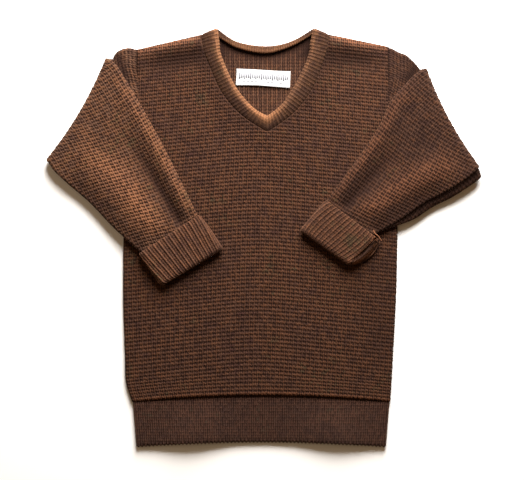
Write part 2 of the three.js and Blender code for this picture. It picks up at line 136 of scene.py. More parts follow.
# For each sleeve: its armhole; its two edge lines, under the fold and over it, from armhole to cuff; the
# way out from the fold and how hollow the fold is; how far its corners are drawn in; how far its end is
# shifted at the armhole; the painted shade in the pocket inside the fold; how far the lower layer shows
# below the upper; where its raised fold runs and how that drifts; and its cuff's corners, open mouth and
# ribs, with the painted shade between the ribs.
SLEEVES = {
    "left": dict(
        armhole=LEFT_ARMHOLE,
        under_top=[[-135.1, 197.6], [-144, 199.4], [-154.6, 196], [-159.8, 189.4]],
        under_low=[[-146.5, 50], [-171.8, 58], [-200, 67.5], [-226.6, 75.3]],
        over_top=[[-159.8, 189.4], [-142, 158.7], [-125.5, 130.8], [-99.3, 81.4], [-68.2, 17.5]],
        over_low=[[-226.6, 75.3], [-207.5, 57], [-182, 34.5], [-157, 8], [-126.4, -19.9]],
        fold_out=(-0.867, 0.4985), bow=5.5, elbow=3.2, tip=4, seam_pull=1.2,
        pocket=[[-153, 188], [-146.5, 170]], step=0, ridge=0.6, drift=0,
        cuff_inner=[[-68, 24], [-42.5, -11]], cuff_outer=[[-132, -17.5], [-109, -51]], cuff_mouth=0,
        cuff_pitch=5.3, cuff_groups=0.27, cuff_fan=0.16, cuff_lean=0, cuff_dark=0.08, cuff_fine=0.22,
        cuff_split=2,
    ),
    "right": dict(
        armhole=RIGHT_ARMHOLE, under_top=[[131.3, 200.4], [141.4, 195], [150, 191.3], [163.5, 178.2]],
        under_low=[[140.5, 45], [167.5, 54], [195, 62], [222.35, 69]],
        over_top=[[163.5, 178.2], [147.4, 159.6], [132.4, 141.4], [113.3, 103.3], [64.9, 34]],
        over_low=[[222.35, 69], [191, 47], [166.5, 33.5], [143.3, 16.5], [112.7, -2.5]],
        fold_out=(0.891, 0.453), bow=5, elbow=2.5, tip=3, seam_pull=-2, pocket=[[160, 181], [150, 166]],
        step=8.5, ridge=0.56, drift=-0.3, cuff_inner=[[64.4, 39.4], [36.5, 8]],
        cuff_outer=[[118, -1], [90, -30]], cuff_mouth=9, cuff_pitch=4.1, cuff_groups=0.3, cuff_fan=0,
        cuff_lean=0.094, cuff_dark=0.22, cuff_fine=0.06, cuff_split=1,
    ),
}
SLEEVE_RIDGE = 2.6
EDGE_RIDGE = 1.6
CUFF_OVERLAP = 3


# ---- small tools -------------------------------------------------------------------------------

def smooth(t):
    """0 up to 0, 1 from 1 on, and a smooth rise between."""
    t = np.clip(t, 0, 1)
    return t * t * (3 - 2 * t)


def bump(t):
    """A round bump: 1 at 0, and close to 0 from 2 on both sides."""
    return np.exp(-np.square(t))


def wave(turns):
    """A wave that is 1 at whole numbers and -1 halfway between."""
    return np.cos(2 * np.pi * turns)


def unit(vectors):
    return vectors / np.linalg.norm(vectors, axis=-1, keepdims=True)


def listed(*values):
    """A list with a row of values for each mesh point, from one grid for each value."""
    return np.stack(np.broadcast_arrays(*values), axis=-1).reshape(-1, len(values))


def spline(points, t):
    """Points at t, from 0 to 1, on the uniform Catmull-Rom curve that the CAD uses."""
    p = np.asarray(points, float)
    spans = len(p) - 1
    s = np.clip(np.asarray(t, float), 0, 1) * spans
    i = np.minimum(s.astype(int), spans - 1)
    w = (s - i)[..., None]
    before, start, end = p[np.maximum(i - 1, 0)], p[i], p[i + 1]
    after = p[np.minimum(i + 2, spans)]
    leave, arrive = (end - before) / 2, (after - start) / 2
    bent = (2 * start - 2 * end + leave + arrive) * w + (3 * end - 3 * start - 2 * leave - arrive)
    return bent * w * w + leave * w + start


def by_length(points, count):
    """The same open line with count points at equal distances."""
    steps = np.r_[0, np.cumsum(np.linalg.norm(np.diff(points, axis=0), axis=1))]
    at = np.linspace(0, steps[-1], count)
    return np.stack([np.interp(at, steps, points[:, k]) for k in range(points.shape[1])], axis=1)


def line_length(points):
    return np.linalg.norm(np.diff(points, axis=0), axis=1).sum()


def arch_y(arch, x):
    return arch["top"] - arch["drop"] * ((x - MIDDLE_X) / arch["half"]) ** 2


def grid_normals(p, upward, wrap_rows=False):
    """Unit normals of a grid of points (rows, columns, 3) whose columns go round. upward tells, by its
    sign, where they point up."""
    def along(axis, wrap):
        if wrap:
            return np.roll(p, -1, axis) - np.roll(p, 1, axis)
        return np.gradient(p, axis=axis)
    n = np.cross(along(1, True), along(0, wrap_rows))
    n = n / np.maximum(np.linalg.norm(n, axis=2, keepdims=True), 1e-9)
    return n if (n[..., 2] * upward).sum() >= 0 else -n


def grid_quads(numbers, wrap_rows=False, wrap_columns=False):
    """The quads of a grid of point numbers."""
    if wrap_rows:
        numbers = np.concatenate([numbers, numbers[:1]])
    if wrap_columns:
        numbers = np.concatenate([numbers, numbers[:, :1]], axis=1)
    corners = (numbers[:-1, :-1], numbers[:-1, 1:], numbers[1:, 1:], numbers[1:, :-1])
    return np.stack(corners, axis=-1).reshape(-1, 4)


def zip_lines(fine, coarse, marks):
    """Triangles between a line of many points and a line of few; coarse[k] lies beside fine[marks[k]]."""
    triangles = []
    for k in range(len(coarse) - 1):
        middle = (marks[k] + marks[k + 1]) // 2
        for i in range(marks[k], marks[k + 1]):
            triangles.append((coarse[k if i < middle else k + 1], fine[i], fine[i + 1]))
        triangles.append((coarse[k], fine[middle], coarse[k + 1]))
    return np.array(triangles)


def add(name, data, place=(0, 0, 0)):
    """A new object in the scene."""
    item = bpy.data.objects.new(name, data)
    item.location = place
    bpy.context.scene.collection.objects.link(item)
    return item


def make_piece(name, node, points, faces, knit, materials, second=None):
    """A mesh object from points in millimetres that stands for a CAD node. faces is a list of arrays of
    quads and triangles, and second says which of those arrays take the second material."""
    mesh = bpy.data.meshes.new(name)
    corners = np.concatenate([np.asarray(f).ravel() for f in faces])
    sizes = np.concatenate([np.full(len(f), np.asarray(f).shape[1]) for f in faces])
    mesh.vertices.add(len(points))
    mesh.vertices.foreach_set("co", (np.asarray(points) * MM).astype(np.float32).ravel())
    mesh.loops.add(len(corners))
    mesh.loops.foreach_set("vertex_index", corners.astype(np.int32))
    mesh.polygons.add(len(sizes))
    mesh.polygons.foreach_set("loop_start", np.r_[0, np.cumsum(sizes)[:-1]].astype(np.int32))
    for material in materials:
        mesh.materials.append(material)
    if second is not None:
        index = np.concatenate([np.full(len(f), int(two)) for f, two in zip(faces, second)])
        mesh.polygons.foreach_set("material_index", index.astype(np.int32))
    mesh.update(calc_edges=True)
    mesh.validate()
    turn_outward(mesh)
    mesh.polygons.foreach_set("use_smooth", np.ones(len(mesh.polygons), bool))
    layer = mesh.attributes.new("knit", "FLOAT_VECTOR", "POINT")
    layer.data.foreach_set("vector", np.asarray(knit, np.float32).ravel())
    piece = add(name, mesh)
    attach(piece, "root")
    if node:
        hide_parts(node)
    return piece


def turn_outward(mesh):
    work = bmesh.new()
    work.from_mesh(mesh)
    bmesh.ops.recalc_face_normals(work, faces=work.faces)
    work.to_mesh(mesh)
    work.free()


def sheet_shell(upper, lower):
    """Points and faces of a shell between two equal grids, with a rim of quads round its border."""
    rows, columns = upper.shape[:2]
    top = np.arange(rows * columns).reshape(rows, columns)
    bottom = top + rows * columns
    faces = [grid_quads(top), grid_quads(bottom)]
    for line, other in zip(borders(top), borders(bottom)):
        faces.append(grid_quads(np.stack([line, other])))
    return np.concatenate([upper.reshape(-1, 3), lower.reshape(-1, 3)]), faces


def borders(numbers):
    return numbers[0], numbers[-1], numbers[:, 0], numbers[:, -1]


def waffle(u, v, strands=0.16):
    """Height of the waffle knit, about 0 in a hole and 1 on a ridge, at stitch u across and row v along."""
    return 0.5 + 0.25 * wave(v - 0.55) + strands * wave(2 * u) + 0.09 * wave(u + v - 0.05)


# ---- materials ---------------------------------------------------------------------------------

class Nodes:
    """Builds a node tree with short calls."""

    def __init__(self, name):
        self.material = bpy.data.materials.new(name)
        self.material.use_nodes = True
        self.tree = self.material.node_tree
        self.shader = self.tree.nodes["Principled BSDF"]
        self.position = self.new("ShaderNodeTexCoord").outputs["Object"]

    def new(self, kind, **settings):
        node = self.tree.nodes.new(kind)
        for key, value in settings.items():
            setattr(node, key, value)
        return node

    def link(self, source, target):
        if isinstance(source, (int, float, tuple)):
            target.default_value = source
        else:
            self.tree.links.new(source, target)

    def math(self, operation, *values, clamp=False):
        node = self.new("ShaderNodeMath", operation=operation, use_clamp=clamp)
        for socket, value in zip(node.inputs, values):
            self.link(value, socket)
        return node.outputs[0]

    def mix(self, factor, a, b, blend="MIX"):
        node = self.new("ShaderNodeMix", data_type="RGBA", blend_type=blend)
        self.link(factor, node.inputs[0])
        self.link(a, node.inputs[6])
        self.link(b, node.inputs[7])
        return node.outputs[2]

    def ramp(self, factor, stops):
        node = self.new("ShaderNodeValToRGB")
        while len(node.color_ramp.elements) < len(stops):
            node.color_ramp.elements.new(0.5)
        for element, (place, colour) in zip(node.color_ramp.elements, stops):
            element.position = place
            element.color = colour
        self.link(factor, node.inputs[0])
        return node.outputs[0]

    def noise(self, vector, scale, detail=2.0, roughness=0.5):
        node = self.new("ShaderNodeTexNoise")
        self.link(vector, node.inputs["Vector"])
        node.inputs["Scale"].default_value = scale
        node.inputs["Detail"].default_value = detail
        node.inputs["Roughness"].default_value = roughness
        return node.outputs["Fac"]

    def range(self, value, low, high, to_low, to_high):
        node = self.new("ShaderNodeMapRange", interpolation_type="SMOOTHSTEP")
        for socket, number in zip(node.inputs, (value, low, high, to_low, to_high)):
            self.link(number, socket)
        return node.outputs[0]

    def cosine(self, value):
        """A wave that is 1 at whole numbers and -1 halfway between."""
        return self.math("COSINE", self.math("MULTIPLY", value, 2 * math.pi))

    def total(self, start, *terms):
        """start plus each term times its weight."""
        for weight, term in terms:
            start = self.math("MULTIPLY_ADD", term, weight, start)
        return start

    def finish(self, colour, normal, **constants):
        """Joins the shader's colour and normal and sets its other inputs, and returns the material."""
        self.link(colour, self.shader.inputs["Base Color"])
        if normal:
            self.link(normal, self.shader.inputs["Normal"])
        for name, value in constants.items():
            self.shader.inputs[name.replace("_", " ")].default_value = value
        return self.material

    def bump(self, height, distance):
        node = self.new("ShaderNodeBump")
        node.inputs["Strength"].default_value = 1.0
        node.inputs["Distance"].default_value = distance * MM
        self.link(height, node.inputs["Height"])
        return node.outputs["Normal"]


def srgb(red, green, blue):
    """A linear colour from 0-255 screen values."""
    screen = np.array([red, green, blue]) / 255
    linear = np.where(screen <= 0.04045, screen / 12.92, ((screen + 0.055) / 1.055) ** 2.4)
    return (*linear.tolist(), 1.0)


# painted shade: the colour of the holes between stitches and of shaded places
PAINTED_SHADE_COLOUR = srgb(31, 15, 9)
PALE_FIBRE = srgb(128, 102, 84)
SHADES = {  # dark, plain, warm and greenish yarn of each piece of knitting
    "body": [srgb(57, 33, 27), srgb(70, 45, 32), srgb(81, 49, 31), srgb(62, 48, 32)],
    "left": [srgb(67, 43, 34), srgb(84, 58, 43), srgb(97, 62, 41), srgb(77, 59, 39)],
    # the right sleeve's yarn is drawn darker than the left's: painted shade
    "right": [srgb(48, 28, 22), srgb(61, 39, 28), srgb(72, 43, 27), srgb(55, 41, 26)],
    "hem": [srgb(57, 37, 33), srgb(70, 48, 39), srgb(80, 52, 40), srgb(65, 51, 40)],
    "inside": [srgb(64, 40, 31), srgb(82, 55, 40), srgb(93, 59, 40), srgb(72, 56, 38)],
    "band": [srgb(62, 40, 31), srgb(79, 53, 38), srgb(93, 61, 39), srgb(72, 56, 37)],
    "rib": [srgb(72, 45, 36), srgb(91, 61, 45), srgb(104, 66, 45), srgb(80, 62, 42)],
}


def yarn_colour(n, shades):
    """Marled wool: patches of the four shades, with single fibres lighter and darker."""
    dark, plain, warm, green = shades
    broad = n.noise(n.position, 95, 3, 0.6)
    patch = n.noise(n.position, 260, 2, 0.55)
    wide = n.noise(n.position, 17, 1)
    mixed = n.total(n.math("MULTIPLY", patch, 0.33), (0.42, broad), (0.25, wide))
    colour = n.ramp(mixed, [(0.36, dark), (0.46, plain), (0.55, warm), (0.64, green)])
    fibre = n.noise(n.position, 1900, 2, 0.7)
    light = n.range(fibre, 0.3, 0.75, 0.6, 1.35)
    bright = n.new("ShaderNodeCombineColor")
    for socket in bright.inputs[:3]:
        n.link(light, socket)
    colour = n.mix(1.0, colour, bright.outputs[0], "MULTIPLY")
    return n.mix(n.range(fibre, 0.56, 0.8, 0.0, 0.45), colour, PALE_FIBRE)


def knit_values(n):
    """The three values of the attribute "knit"."""
    layer = n.new("ShaderNodeAttribute", attribute_name="knit", attribute_type="GEOMETRY")
    split = n.new("ShaderNodeSeparateXYZ")
    n.link(layer.outputs["Vector"], split.inputs[0])
    return split.outputs


def finish_wool(n, shades, height, depth, bump_height):
    """Colour, holes and fuzz that all the knitting shares: painted shade in the holes between stitches and
    where depth is above 0, and a painted highlight where depth is below 0.
    """
    colour = yarn_colour(n, shades)
    # painted highlight: a lighter yarn colour where depth is below 0
    wear_and_highlight = tuple(2.4 * channel for channel in shades[2][:3]) + (1.0,)
    colour = n.mix(n.math("MULTIPLY", depth, -1.0, clamp=True), colour, wear_and_highlight)
    # painted shade in the holes between stitches, and where depth is above 0
    open_place = n.range(height, 0.1, 0.76, 0.0, 1.0)
    shaded = n.mix(open_place, PAINTED_SHADE_COLOUR, colour)
    shaded = n.mix(n.math("MAXIMUM", depth, 0.0), shaded, PAINTED_SHADE_COLOUR)
    fuzz = n.noise(n.position, 2600, 2, 0.7)
    normal = n.bump(n.total(height, (0.25, fuzz)), bump_height)
    return n.finish(shaded, normal, Roughness=0.92, Specular_IOR_Level=0.12, Sheen_Weight=0.12,
                    Sheen_Roughness=0.4, Sheen_Tint=srgb(226, 170, 130))


def uneven(n, u, v):
    """Each half stitch a little lighter or darker than the next."""
    cell = n.new("ShaderNodeCombineXYZ")
    n.link(n.math("FLOOR", n.math("MULTIPLY", u, 2.0)), cell.inputs[0])
    n.link(n.math("FLOOR", v), cell.inputs[1])
    white = n.new("ShaderNodeTexWhiteNoise", noise_dimensions="2D")
    n.link(cell.outputs[0], white.inputs["Vector"])
    return n.math("SUBTRACT", white.outputs["Value"], 0.5)


def waffle_wool(name, shades, stitch, half_stitch):
    """Rows of short raised bars, with strands between that leave two holes under each bar."""
    n = Nodes(name)
    across, along, depth = knit_values(n)
    wander = n.math("MULTIPLY", n.math("SUBTRACT", n.noise(n.position, 380, 1), 0.5), 0.34)
    u = n.math("ADD", across, wander)
    v = n.math("MULTIPLY_ADD", wander, 0.9, along)
    ridge = n.cosine(n.math("SUBTRACT", v, 0.55))
    strands = n.cosine(n.math("MULTIPLY", u, 2.0))
    slant = n.cosine(n.math("ADD", n.math("ADD", u, v), -0.05))
    height = n.total(0.5, (0.19, ridge), (half_stitch, strands), (stitch, n.cosine(u)), (0.08, slant),
                     (0.34, uneven(n, u, v)))
    return finish_wool(n, shades, height, depth, 0.75)


def ribbed_wool(name, shades, wide, narrow, stitch, bump_height, spread=0.16):
    """Ribs a whole number apart in the first knit value. wide and narrow weigh the rib and its two halves,
    stitch the V stitches along them, and spread the difference from one to the next."""
    n = Nodes(name)
    across, along, depth = knit_values(n)
    wander = n.math("MULTIPLY", n.math("SUBTRACT", n.noise(n.position, 300, 1), 0.5), 0.16)
    u = n.math("ADD", across, wander)
    halves = n.math("MULTIPLY", u, 2.0)
    lean = n.math("ABSOLUTE", n.math("SUBTRACT", n.math("FRACT", halves), 0.5))
    vee = n.cosine(n.math("ADD", along, lean))
    height = n.total(0.5, (wide, n.cosine(u)), (narrow, n.cosine(halves)), (stitch, vee),
                     (spread, uneven(n, u, along)))
    return finish_wool(n, shades, height, depth, bump_height)


def label_tape():
    """White satin tape: fine threads across it, a little yellowed along the edges."""
    n = Nodes("label_tape")
    across, along, edge = knit_values(n)
    threads = n.math("MULTIPLY", *[n.total(0.5, (-0.5, n.cosine(n.math("MULTIPLY", place, count))))
                                   for place, count in ((across, 90.0), (along, 42.0))])
    wear_and_highlight = n.noise(n.position, 330, 2)
    clean = n.mix(n.range(wear_and_highlight, 0.35, 0.7, 0.0, 1.0), srgb(204, 205, 208), srgb(190, 190, 190))
    return n.finish(n.mix(edge, clean, srgb(180, 172, 160)), n.bump(threads, 0.12), Roughness=0.5,
                    Sheen_Weight=0.1)


def label_thread():
    """Grey thread of the woven pattern on the label."""
    n = Nodes("label_thread")
    wear_and_highlight = n.noise(n.position, 1500, 2)
    return n.finish(n.mix(wear_and_highlight, srgb(120, 118, 122), srgb(64, 62, 68)), n.bump(wear_and_highlight, 0.1), Roughness=0.7)


def paper_floor():
    """Plain white paper."""
    n = Nodes("paper_floor")
    grain = n.noise(n.position, 60, 3)
    colour = n.mix(grain, srgb(255, 253, 250), srgb(252, 250, 247))
    return n.finish(colour, None, Roughness=0.9, Specular_IOR_Level=0.1)


BODY_WOOL = waffle_wool("wool_body", SHADES["body"], 0.04, 0.22)
SLEEVE_WOOL = {side: waffle_wool(f"wool_sleeve_{side}", SHADES[side], 0.08, 0.16) for side in SLEEVES}
HEM_WOOL = ribbed_wool("wool_hem", SHADES["hem"], 0.26, 0.02, 0.2, 0.7, 0.4)
CUFF_WOOL = ribbed_wool("wool_cuff", SHADES["rib"], 0.12, 0.16, 0.08, 0.8)
BAND_WOOL = ribbed_wool("wool_band", SHADES["band"], 0.08, 0.05, 0.08, 0.5)
INSIDE_WOOL = ribbed_wool("wool_inside", SHADES["inside"], 0.24, 0.26, 0.12, 0.9)


# ---- body --------------------------------------------------------------------------------------

def x_on(points, y):
    """The x of an edge line at a height y."""
    line = spline(points, np.linspace(0, 1, 400))
    order = np.argsort(line[:, 1])
    return np.interp(y, line[order, 1], line[order, 0])


def outer_x(y, side, base):
    """The body's edge: its side, and above the armhole its shoulder line."""
    tip = side[-1]
    share = np.clip((y - tip[1]) / (base[1] - tip[1]), 0, 1)
    return np.where(y < tip[1], x_on(side, y), tip[0] + share * (base[0] - tip[0]))


def shoulder_y(x):
    """The height of the straight shoulder lines."""
    left, right = [base[1] + (x - base[0]) / (side[-1][0] - base[0]) * (side[-1][1] - base[1])
                   for side, base in ((LEFT_SIDE, LEFT_NECK_BASE), (RIGHT_SIDE, RIGHT_NECK_BASE))]
    return np.where(x < 0, left, right)


def neck_distance(x, y):
    """Distance from the outer edge of the V band."""
    nearest = np.full(x.shape, np.inf)
    for line in (LEFT_BAND_OUTER, RIGHT_BAND_OUTER):
        for edge_x, edge_y in spline(line, np.linspace(0, 1, 31)):
            nearest = np.minimum(nearest, np.hypot(x - edge_x, y - edge_y))
    return nearest


def front_lift(x, y):
    """How far the front stands off the back, as in the CAD."""
    across = np.clip((x - x_on(LEFT_SIDE, y)) / (x_on(RIGHT_SIDE, y) - x_on(LEFT_SIDE, y)), 0, 1) * 2 - 1
    down = shoulder_y(x) - y
    rise = NECK_RISE * bump(neck_distance(x, y) / NECK_RISE_REACH)
    crown = (FRONT_LOFT * (1 - across ** 4) + rise) * smooth(down / SHOULDER_ROLL_REACH)
    falling = np.maximum(0, down - SHOULDER_ROLL_AT) / (SHOULDER_ROLL_REACH - SHOULDER_ROLL_AT)
    roll = SHOULDER_ROLL * smooth(down / SHOULDER_ROLL_AT) * bump(falling)
    return crown + roll * (1 - across ** 8)


def front_hollows(x, y):
    """Depth of the shallow hollows of the front, below the shoulders."""
    return sum(depth * bump((x - at_x) / 36) * bump((y - at_y - slant * (x - at_x)) / reach)
               for depth, at_x, at_y, slant, reach in FRONT_HOLLOWS)


def front_shade(x, y, up, side, neck):
    """How much painted shade the front has, from the distances up from its hem, in from its side and off
    its neck; below 0 it is a painted highlight.
    """
    # painted shade along the side and beside the neck band
    painted_edge_shade = 0.35 * bump(side / 1.3) + 0.2 * bump(neck / 2.5) + 0.3 * bump(neck / 11)
    # painted shadow of the right cuff
    painted_cuff_shadow = 0.3 * smooth((x - 70) / 60) * smooth((20 - y) / 60) * smooth((y + 165) / 60)
    # painted highlight along the shoulders and along the hem
    wear_and_highlight = 0.6 * bump((shoulder_y(x) - y) / 9) + 0.6 * bump(up / 2.5)
    # painted shade in the hollows below the shoulders
    return painted_edge_shade + painted_cuff_shadow + 0.6 * front_hollows(x, y) - wear_and_highlight


def rounding(distance, radius):
    """Share of the thickness that is left near an edge, from 0 at the edge to 1 a radius away."""
    inside = 1 - np.clip(distance / radius, 0, 1)
    return np.sqrt(np.maximum(0, 1 - inside ** 2))


def row_drop(x):
    """How far a mesh row of the body hangs below its middle at the sides."""
    return HEM_SEAM["drop"] * ((x - MIDDLE_X) / HEM_SEAM["half"]) ** 2


def row_sag(x, level):
    """How much lower than the mesh rows the knitted rows lie: they fall evenly from the middle line."""
    knitted = 0.11 * (np.hypot(x + 8, 25) - 25)
    return (knitted - row_drop(x)) * smooth((level - HEM_SEAM["top"]) / 30)


def body_levels(top):
    """Heights of the mesh rows on the middle line, and the knitted row that each lies on."""
    length = top - HEM_SEAM["top"]
    rows = round(length / ROW)
    along = np.arange(rows * SAMPLES + 1) / SAMPLES
    share = along / rows
    closer = 0.075  # the rows are this much closer together at the top and wider apart at the hem
    return HEM_SEAM["top"] + length * (share + closer * share * (1 - share)), along


def meet_edge(level, edge):
    """Where the row that crosses the middle at each level meets an edge line."""
    x = edge(level)
    for _ in range(40):
        x = 0.5 * x + 0.5 * edge(level - row_drop(x))
    return x


def press(distance, zone):
    """Distances from an edge, with the columns that lie beyond it pressed into a narrow zone inside it."""
    first = np.minimum(distance[:, :1], 0)
    return np.where(distance >= zone, distance, zone * (distance - first) / (zone - first))


def body_half(side, outline, neck_edge, level, middle, above):
    """Places (x, y) of the mesh points of one half of the front, from its side to its middle or neck."""
    columns = BODY_WALES * SAMPLES // 2
    sign = 1 if side == "left" else -1
    share = np.linspace(0, 1, columns + 1)[None, :]
    edge_line = LEFT_SIDE if side == "left" else RIGHT_SIDE
    x = np.repeat(level[:, None], columns + 1, axis=1) * 0
    for _ in range(6):
        outer = x_on(edge_line, level[:, None] - row_drop(x))
        x = outer + share * (middle[:, None] - outer)
    start = meet_edge(level, outline)[:, None]
    inner = meet_edge(level, neck_edge)
    end = np.where(above, inner, middle)[:, None]
    width = (end - start) * sign
    zone = np.minimum(3, width / 3)
    inward = press((x - start) * sign, zone)
    inward = width - press((width - inward)[:, ::-1], zone)[:, ::-1]
    inward[:, 0], inward[:, -1:] = 0, width
    seam = WALE
    rounded = np.where(inward < seam, seam * (np.maximum(inward, 0) / seam) ** 1.5, inward)
    inward = np.where(width > 2 * seam, rounded, inward)
    x = start + sign * inward
    return x, level[:, None] - row_drop(x)


def front_panel():
    """The front: whole rows up to the point of the V, then a left and a right part of each row."""
    level, along = body_levels(FRONT_TOP)
    middle = np.interp(level, [HEM_SEAM["top"], V_OUTER_Y], [MIDDLE_X, V_POINT])
    split = int(np.searchsorted(level, V_OUTER_Y - GAP))
    above = np.arange(len(level)) > split
    wales = BODY_WALES / 2
    halves = {
        "left": (LEFT_SIDE, LEFT_NECK_BASE, LEFT_BAND_OUTER, -1.3 * GAP),
        "right": (RIGHT_SIDE, RIGHT_NECK_BASE, RIGHT_BAND_OUTER, 1.3 * GAP),
    }
    coarse_rows = np.unique(np.r_[np.arange(0, len(level), HIDDEN_STEP), split, len(level) - 1])
    points, knit, faces = [], [], []
    shared = {}
    for side, (outline, base, band, clear) in halves.items():
        x, y = body_half(side, lambda at: outer_x(at, outline, base), lambda at: x_on(band, at) + clear,
                         level, middle, above)
        from_side, up = np.abs(x - x[:, :1]), (level - level[0])[:, None]
        edge = np.minimum(from_side, np.maximum(up, 1.1))
        edge = np.minimum(edge, np.maximum(0, shoulder_y(x) - y) + 0.05)
        neck = np.where(above[:, None], np.abs(x - x[:, -1:]), NO_EDGE)
        full = rounding(np.minimum(edge, neck), CLOTH)
        under = FRONT_Z + np.maximum(0, front_lift(x, y) - front_hollows(x, y))
        # Stitches are counted from the middle line, on the outline that the body has without its neck.
        side_x = x_on(outline, y)
        u = (x - middle[:, None]) / np.abs(side_x - middle[:, None]) * wales
        v = along[:, None] + row_sag(x, level[:, None]) / ROW
        top = under + 0.1 + (CLOTH - 0.1 + RELIEF * (waffle(u, v) - 0.5)) * full
        painted_shade = front_shade(x, y, up, from_side, neck)
        rows, columns = x.shape
        columns_kept = np.arange(0, columns, HIDDEN_STEP)
        upper = np.arange(rows * columns).reshape(rows, columns) + sum(map(len, points))
        points.append(listed(x, y, top))
        knit.append(listed(u, v, painted_shade))
        keep = np.ix_(coarse_rows, columns_kept)
        lower = np.arange(len(coarse_rows) * len(columns_kept)).reshape(len(coarse_rows), -1)
        lower += sum(map(len, points))
        points.append(listed(x[keep], y[keep], under[keep]))
        knit.append(listed(u[keep], v[keep], painted_shade[keep]))
        split_low = int(np.searchsorted(coarse_rows, split))
        if side == "right":  # the two halves share the middle line below the V
            upper[:split + 1, -1] = shared["upper"][:split + 1, -1]
            lower[:split_low + 1, -1] = shared["lower"][:split_low + 1, -1]
        shared = {"upper": upper, "lower": lower}
        faces += [grid_quads(upper), grid_quads(lower)]
        faces.append(zip_lines(upper[0], lower[0], columns_kept))
        faces.append(zip_lines(upper[-1], lower[-1], columns_kept))
        faces.append(zip_lines(upper[:, 0], lower[:, 0], coarse_rows))
        faces.append(zip_lines(upper[split:, -1], lower[split_low:, -1], coarse_rows[split_low:] - split))
    points, faces, knit = drop_loose(np.concatenate(points), faces, np.concatenate(knit))
    return make_piece("front_panel_knit", "front_panel", points, faces, knit, [BODY_WOOL])


def drop_loose(points, faces, values):
    """The same mesh without the points that no face uses."""
    used = np.unique(np.concatenate([f.ravel() for f in faces]))
    renumber = np.zeros(len(points), int)
    renumber[used] = np.arange(len(used))
    return points[used], [renumber[f] for f in faces], values[used]


def back_panel():
    """The back: its inside, seen through the V, shows vertical ribs; its outside lies on the floor."""
    columns = BODY_WALES * SAMPLES + 1
    rows, coarse = 96 * 3 + 1, 12
    neck_line = [LEFT_NECK_BASE, *[[x, y + 2 * GAP] for x, y in BACK_BAND_LOW], RIGHT_NECK_BASE]
    neck_top = spline(neck_line, np.linspace(0, 1, 200))
    u = np.linspace(0, 1, columns)
    tip_left, tip_right = LEFT_SIDE[-1][0], RIGHT_SIDE[-1][0]
    x_top = tip_left + u * (tip_right - tip_left)
    at_neck = (x_top > LEFT_NECK_BASE[0]) & (x_top < RIGHT_NECK_BASE[0])
    y_top = np.where(at_neck, np.interp(x_top, neck_top[:, 0], neck_top[:, 1]), shoulder_y(x_top))
    y_low = arch_y(HEM_SEAM, LEFT_SIDE[0][0] + u * (RIGHT_SIDE[0][0] - LEFT_SIDE[0][0]))
    v = np.linspace(0, 1, rows)[:, None]
    y = y_low + v * (y_top - y_low)
    left, right = x_on(LEFT_SIDE, y), x_on(RIGHT_SIDE, y)
    x = left + u * (right - left)
    edge = np.minimum(np.minimum(x - left, right - x), np.minimum(y - y_low, y_top - y))
    full = rounding(edge, CLOTH)
    wales = (u - 0.5) * BODY_WALES
    along = (y - y_low) / ROW
    # painted shade along the edges
    painted_shade = 0.4 * bump(edge / 2)
    relief = RELIEF * (waffle(wales, along) - 0.5)
    lower_z = np.maximum(0.02, 0.35 - relief) * full + (CLOTH / 2) * (1 - full)
    kept = np.arange(0, rows, coarse)
    ribs = (x - V_POINT) / INSIDE_RIB_PITCH
    raised = 0.2 * wave(2 * ribs) + 0.1 * wave(ribs)
    upper_z = CLOTH - 0.3 + raised * full
    upper = np.arange(len(kept) * columns).reshape(len(kept), columns)
    lower = np.arange(rows * columns).reshape(rows, columns) + upper.size
    points = np.concatenate([listed(x[kept], y[kept], upper_z[kept]), listed(x, y, lower_z)])
    # painted shadow under the back band, and painted shade in the corners of the neck
    painted_band_shadow = 0.9 * bump((y_top - y) / 9) * at_neck
    corners = sum(bump(np.hypot(x - at_x, y - at_y) / reach) for at_x, at_y, reach in NECK_CORNERS)
    painted_band_shadow = np.minimum(painted_band_shadow + 1.3 * corners, 0.94)
    inside_painted_shade = np.maximum(painted_shade, painted_band_shadow)
    knit = np.concatenate([listed(ribs[kept], y[kept] / 3.5, inside_painted_shade[kept]),
                           listed(wales, along, painted_shade)])
    faces = [grid_quads(upper), grid_quads(lower),
             grid_quads(np.stack([upper[0], lower[0]])), grid_quads(np.stack([upper[-1], lower[-1]])),
             zip_lines(lower[:, 0], upper[:, 0], kept), zip_lines(lower[:, -1], upper[:, -1], kept)]
    second = [False, True, True, True, True, True]
    return make_piece("back_panel_knit", "back_panel", points, faces, knit, [INSIDE_WOOL, BODY_WOOL],
                      second)


def hem_wave(x):
    return sum(bump((x - at) / half) for at, half in HEM_WAVES)


